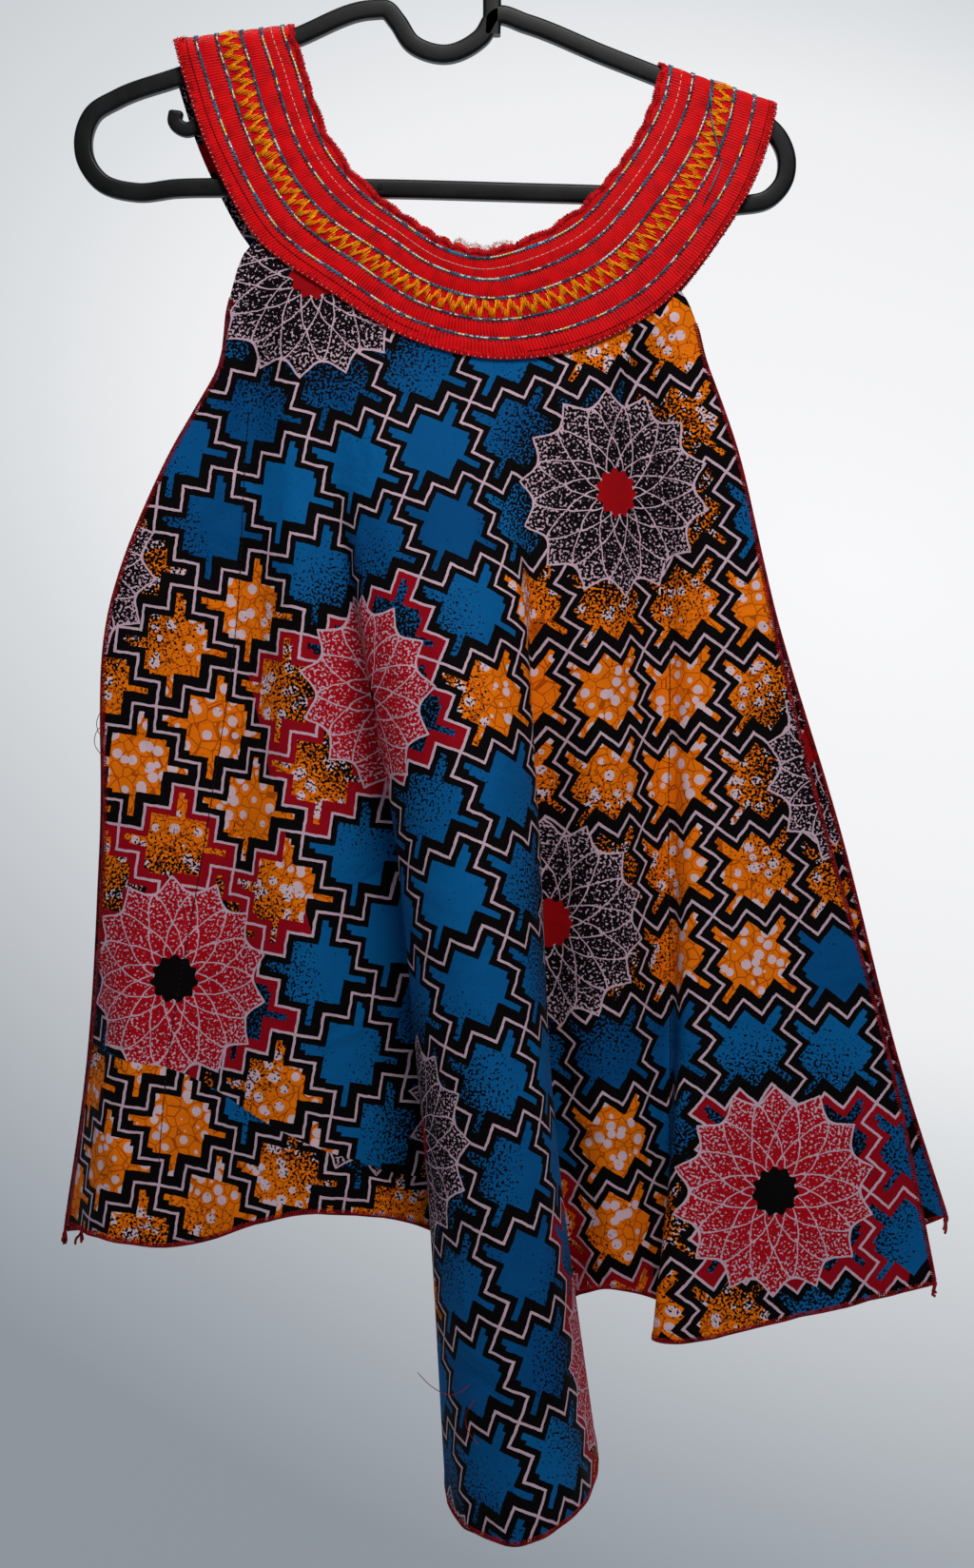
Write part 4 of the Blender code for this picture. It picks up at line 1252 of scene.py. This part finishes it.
def material_threads():
    """The sewing threads, by where they are used."""
    return {
        "cord": thread_material("variegated_cotton_cord", (
            (0.37, "#1187a6"), (0.42, "#294858"), (0.51, "#294858"), (0.525, "#fffdf5"),
            (0.57, "#fffdf5"), (0.585, "#ffe23c")), 8.0, 0.6),
        "teal": thread_material("teal_polyester_thread", (
            (0.40, "#1c3644"), (0.5, "#3b6a80"), (0.58, "#4b86a0"), (0.62, "#0c9dbd")), 14.0),
        "orange": thread_material("orange_rayon_thread", (
            (0.40, "#f97400"), (0.50, "#ff9a04"), (0.60, "#ffbe18")), 1.1, 0.5),
        "red": thread_material("red_overcasting_thread", (
            (0.34, "#8e0a10"), (0.5, "#c6131b"), (0.68, "#e3242b")), 4.0),
        "pink": thread_material("pale_pink_thread", (
            (0.34, "#d9a79a"), (0.68, "#f2d6ca")), 5.0),
        "edge": thread_material("dark_red_overlock_thread", (
            (0.34, "#4a090d"), (0.5, "#8c0f15"), (0.68, "#ab1a1f")), 6.0),
        "dark": thread_material("black_sewing_thread", (
            (0.34, "#0e0a0c"), (0.68, "#2a1216")), 6.0),
    }


def build_dress():
    """Every piece, with the node that it replaces and its cut."""
    cloth, red, thread = print_material(), yoke_material(), material_threads()
    grids = build_panels()
    panel, piece, back = main_cloth(grids, cloth)
    front_yoke = build_yoke(-1, "front_yoke", red, thread)
    back_yoke = build_yoke(1, "back_yoke", red, thread)
    turning = build_turning(cloth)
    overlocked("front_panel", grids[-1], -1, thread)
    overlocked("back_panel", grids[1], 1, thread)
    seam_stitches(grids, thread)
    loose_threads(grids, thread)
    hanger = build_hanger(plastic_material())
    for obj, cad, slot in (
        (panel, "front_panel", "print_cotton"), (piece, "front_lower_piece", "print_cotton"),
        (back, "back_panel", "print_cotton"), (turning, "left_armhole_turning", "print_cotton"),
        (front_yoke, "front_yoke", "yoke_cotton"), (back_yoke, "back_yoke", "yoke_cotton"),
        (hanger, "hanger", "hanger_plastic"),
    ):
        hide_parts(cad)


# Camera, light and backdrop


def stage_material():
    """A matt backdrop whose brightness is painted light: it glows near white up to the right and
    fades to a cool grey low down and to the left, a painted falloff that stands for light from the
    right and light that the room throws back. Its back isn't seen, so that the views from behind
    and below look through it."""
    material, add, shader = new_material("backdrop_with_painted_glow", {
        "Roughness": 0.95, "Emission Strength": 1.0, "Base Color": linear("#303234")})
    place = add("ShaderNodeTexCoord", out="Object")
    place = add(VECTOR, (place, (-0.35, 0.0, 0.34)), operation="ADD")
    slant = add(VECTOR, (place, (0.86, 0.0, 0.39)), "Value", operation="DOT_PRODUCT")
    height = add(VECTOR, (place, (0.0, 0.0, 1.14)), "Value", operation="DOT_PRODUCT")
    place = add("ShaderNodeCombineXYZ", {"X": slant, "Y": height})
    away = add(VECTOR, (place,), "Value", operation="LENGTH")
    share = add(MATH, (away, 0.8), operation="MULTIPLY")
    # Painted light: the glow is near white up to the right and fades to grey low down and to the
    # left.
    painted_glow_tones = colours((0.0, "#f6f6f8"), (0.38, "#ececee"), (0.5, "#d4d8db"), (0.66, "#bcc0c4"),
                    (0.8, "#a3a8af"), (0.94, "#8b929a"))
    fill(shader, {"Emission Color": add(RAMP, {"Fac": share}, stops=painted_glow_tones)})
    clear = add("ShaderNodeBsdfTransparent")
    back = add("ShaderNodeNewGeometry", out="Backfacing")
    mixed = add("ShaderNodeMixShader", (back, shader.outputs[0], clear))
    fill(material.node_tree.nodes["Material Output"], {"Surface": mixed})
    return material


def build_stage():
    """A floor that curves up into a wall behind the dress."""
    floor, wall, bend, reach = -1.5, 0.85, 0.3, 4.0
    turns = np.linspace(0.0, np.pi / 2, 13)
    curve = [(wall - bend + bend * math.sin(a), floor + bend * (1 - math.cos(a))) for a in turns]
    line = [(-reach, floor), *curve, (wall, 3.0)]
    verts = [(x, y, z) for x in (-reach, reach) for y, z in line]
    count = len(line)
    faces = [(i, i + count, i + count + 1, i + 1) for i in range(count - 1)]
    mesh = bpy.data.meshes.new("backdrop")
    mesh.from_pydata(verts, [], faces)
    mesh.shade_smooth()
    mesh.materials.append(stage_material())
    obj = bpy.data.objects.new("backdrop", mesh)
    bpy.context.scene.collection.objects.link(obj)


def add_light(name, place, aim, size, power, colour):
    """A square soft light that faces a point."""
    data = bpy.data.lights.new(name, "AREA")
    data.shape = "SQUARE"
    data.size = size
    data.energy = power
    data.color = colour
    obj = bpy.data.objects.new(name, data)
    obj.location = place
    way = np.array(aim, float) - np.array(place, float)
    obj.rotation_mode = "QUATERNION"
    obj.rotation_quaternion = Vector(way).to_track_quat("-Z", "Y")
    bpy.context.scene.collection.objects.link(obj)


def camera_and_light():
    """The photograph's camera, level at mid-height, with its soft light from in front above."""
    scene = bpy.context.scene
    data = bpy.data.cameras.new("photograph")
    data.sensor_fit = "VERTICAL"
    data.sensor_height = data.sensor_width = SENSOR
    data.lens = SENSOR * CAMERA_AWAY / FRAME_HEIGHT
    camera = bpy.data.objects.new("photograph", data)
    camera.location = (CAMERA_ACROSS, -CAMERA_AWAY, CAMERA_HEIGHT)
    camera.rotation_euler = (math.pi / 2, 0.0, 0.0)
    scene.collection.objects.link(camera)
    scene.camera = camera
    scene.view_settings.view_transform = "Standard"
    world = bpy.data.worlds.new("soft_room")
    world.use_nodes = True
    fill(world.node_tree.nodes["Background"], {"Color": (0.92, 0.95, 1.0, 1.0), "Strength": 0.11})
    scene.world = world
    add_light("window", (0.2, -1.0, 0.6), (0.0, 0.0, -0.3), 0.5, 14.8, (1.0, 0.98, 0.95))
    add_light("fill", (-1.6, -1.8, 0.1), (0.0, 0.0, -0.5), 1.6, 2.0, (0.93, 0.96, 1.0))
    add_light("behind", (-0.4, 0.7, 0.9), (0.0, 0.0, -0.4), 0.9, 8.0, (1.0, 1.0, 1.0))


STITCHES = stitch_tree()
build_dress()
build_stage()
camera_and_light()
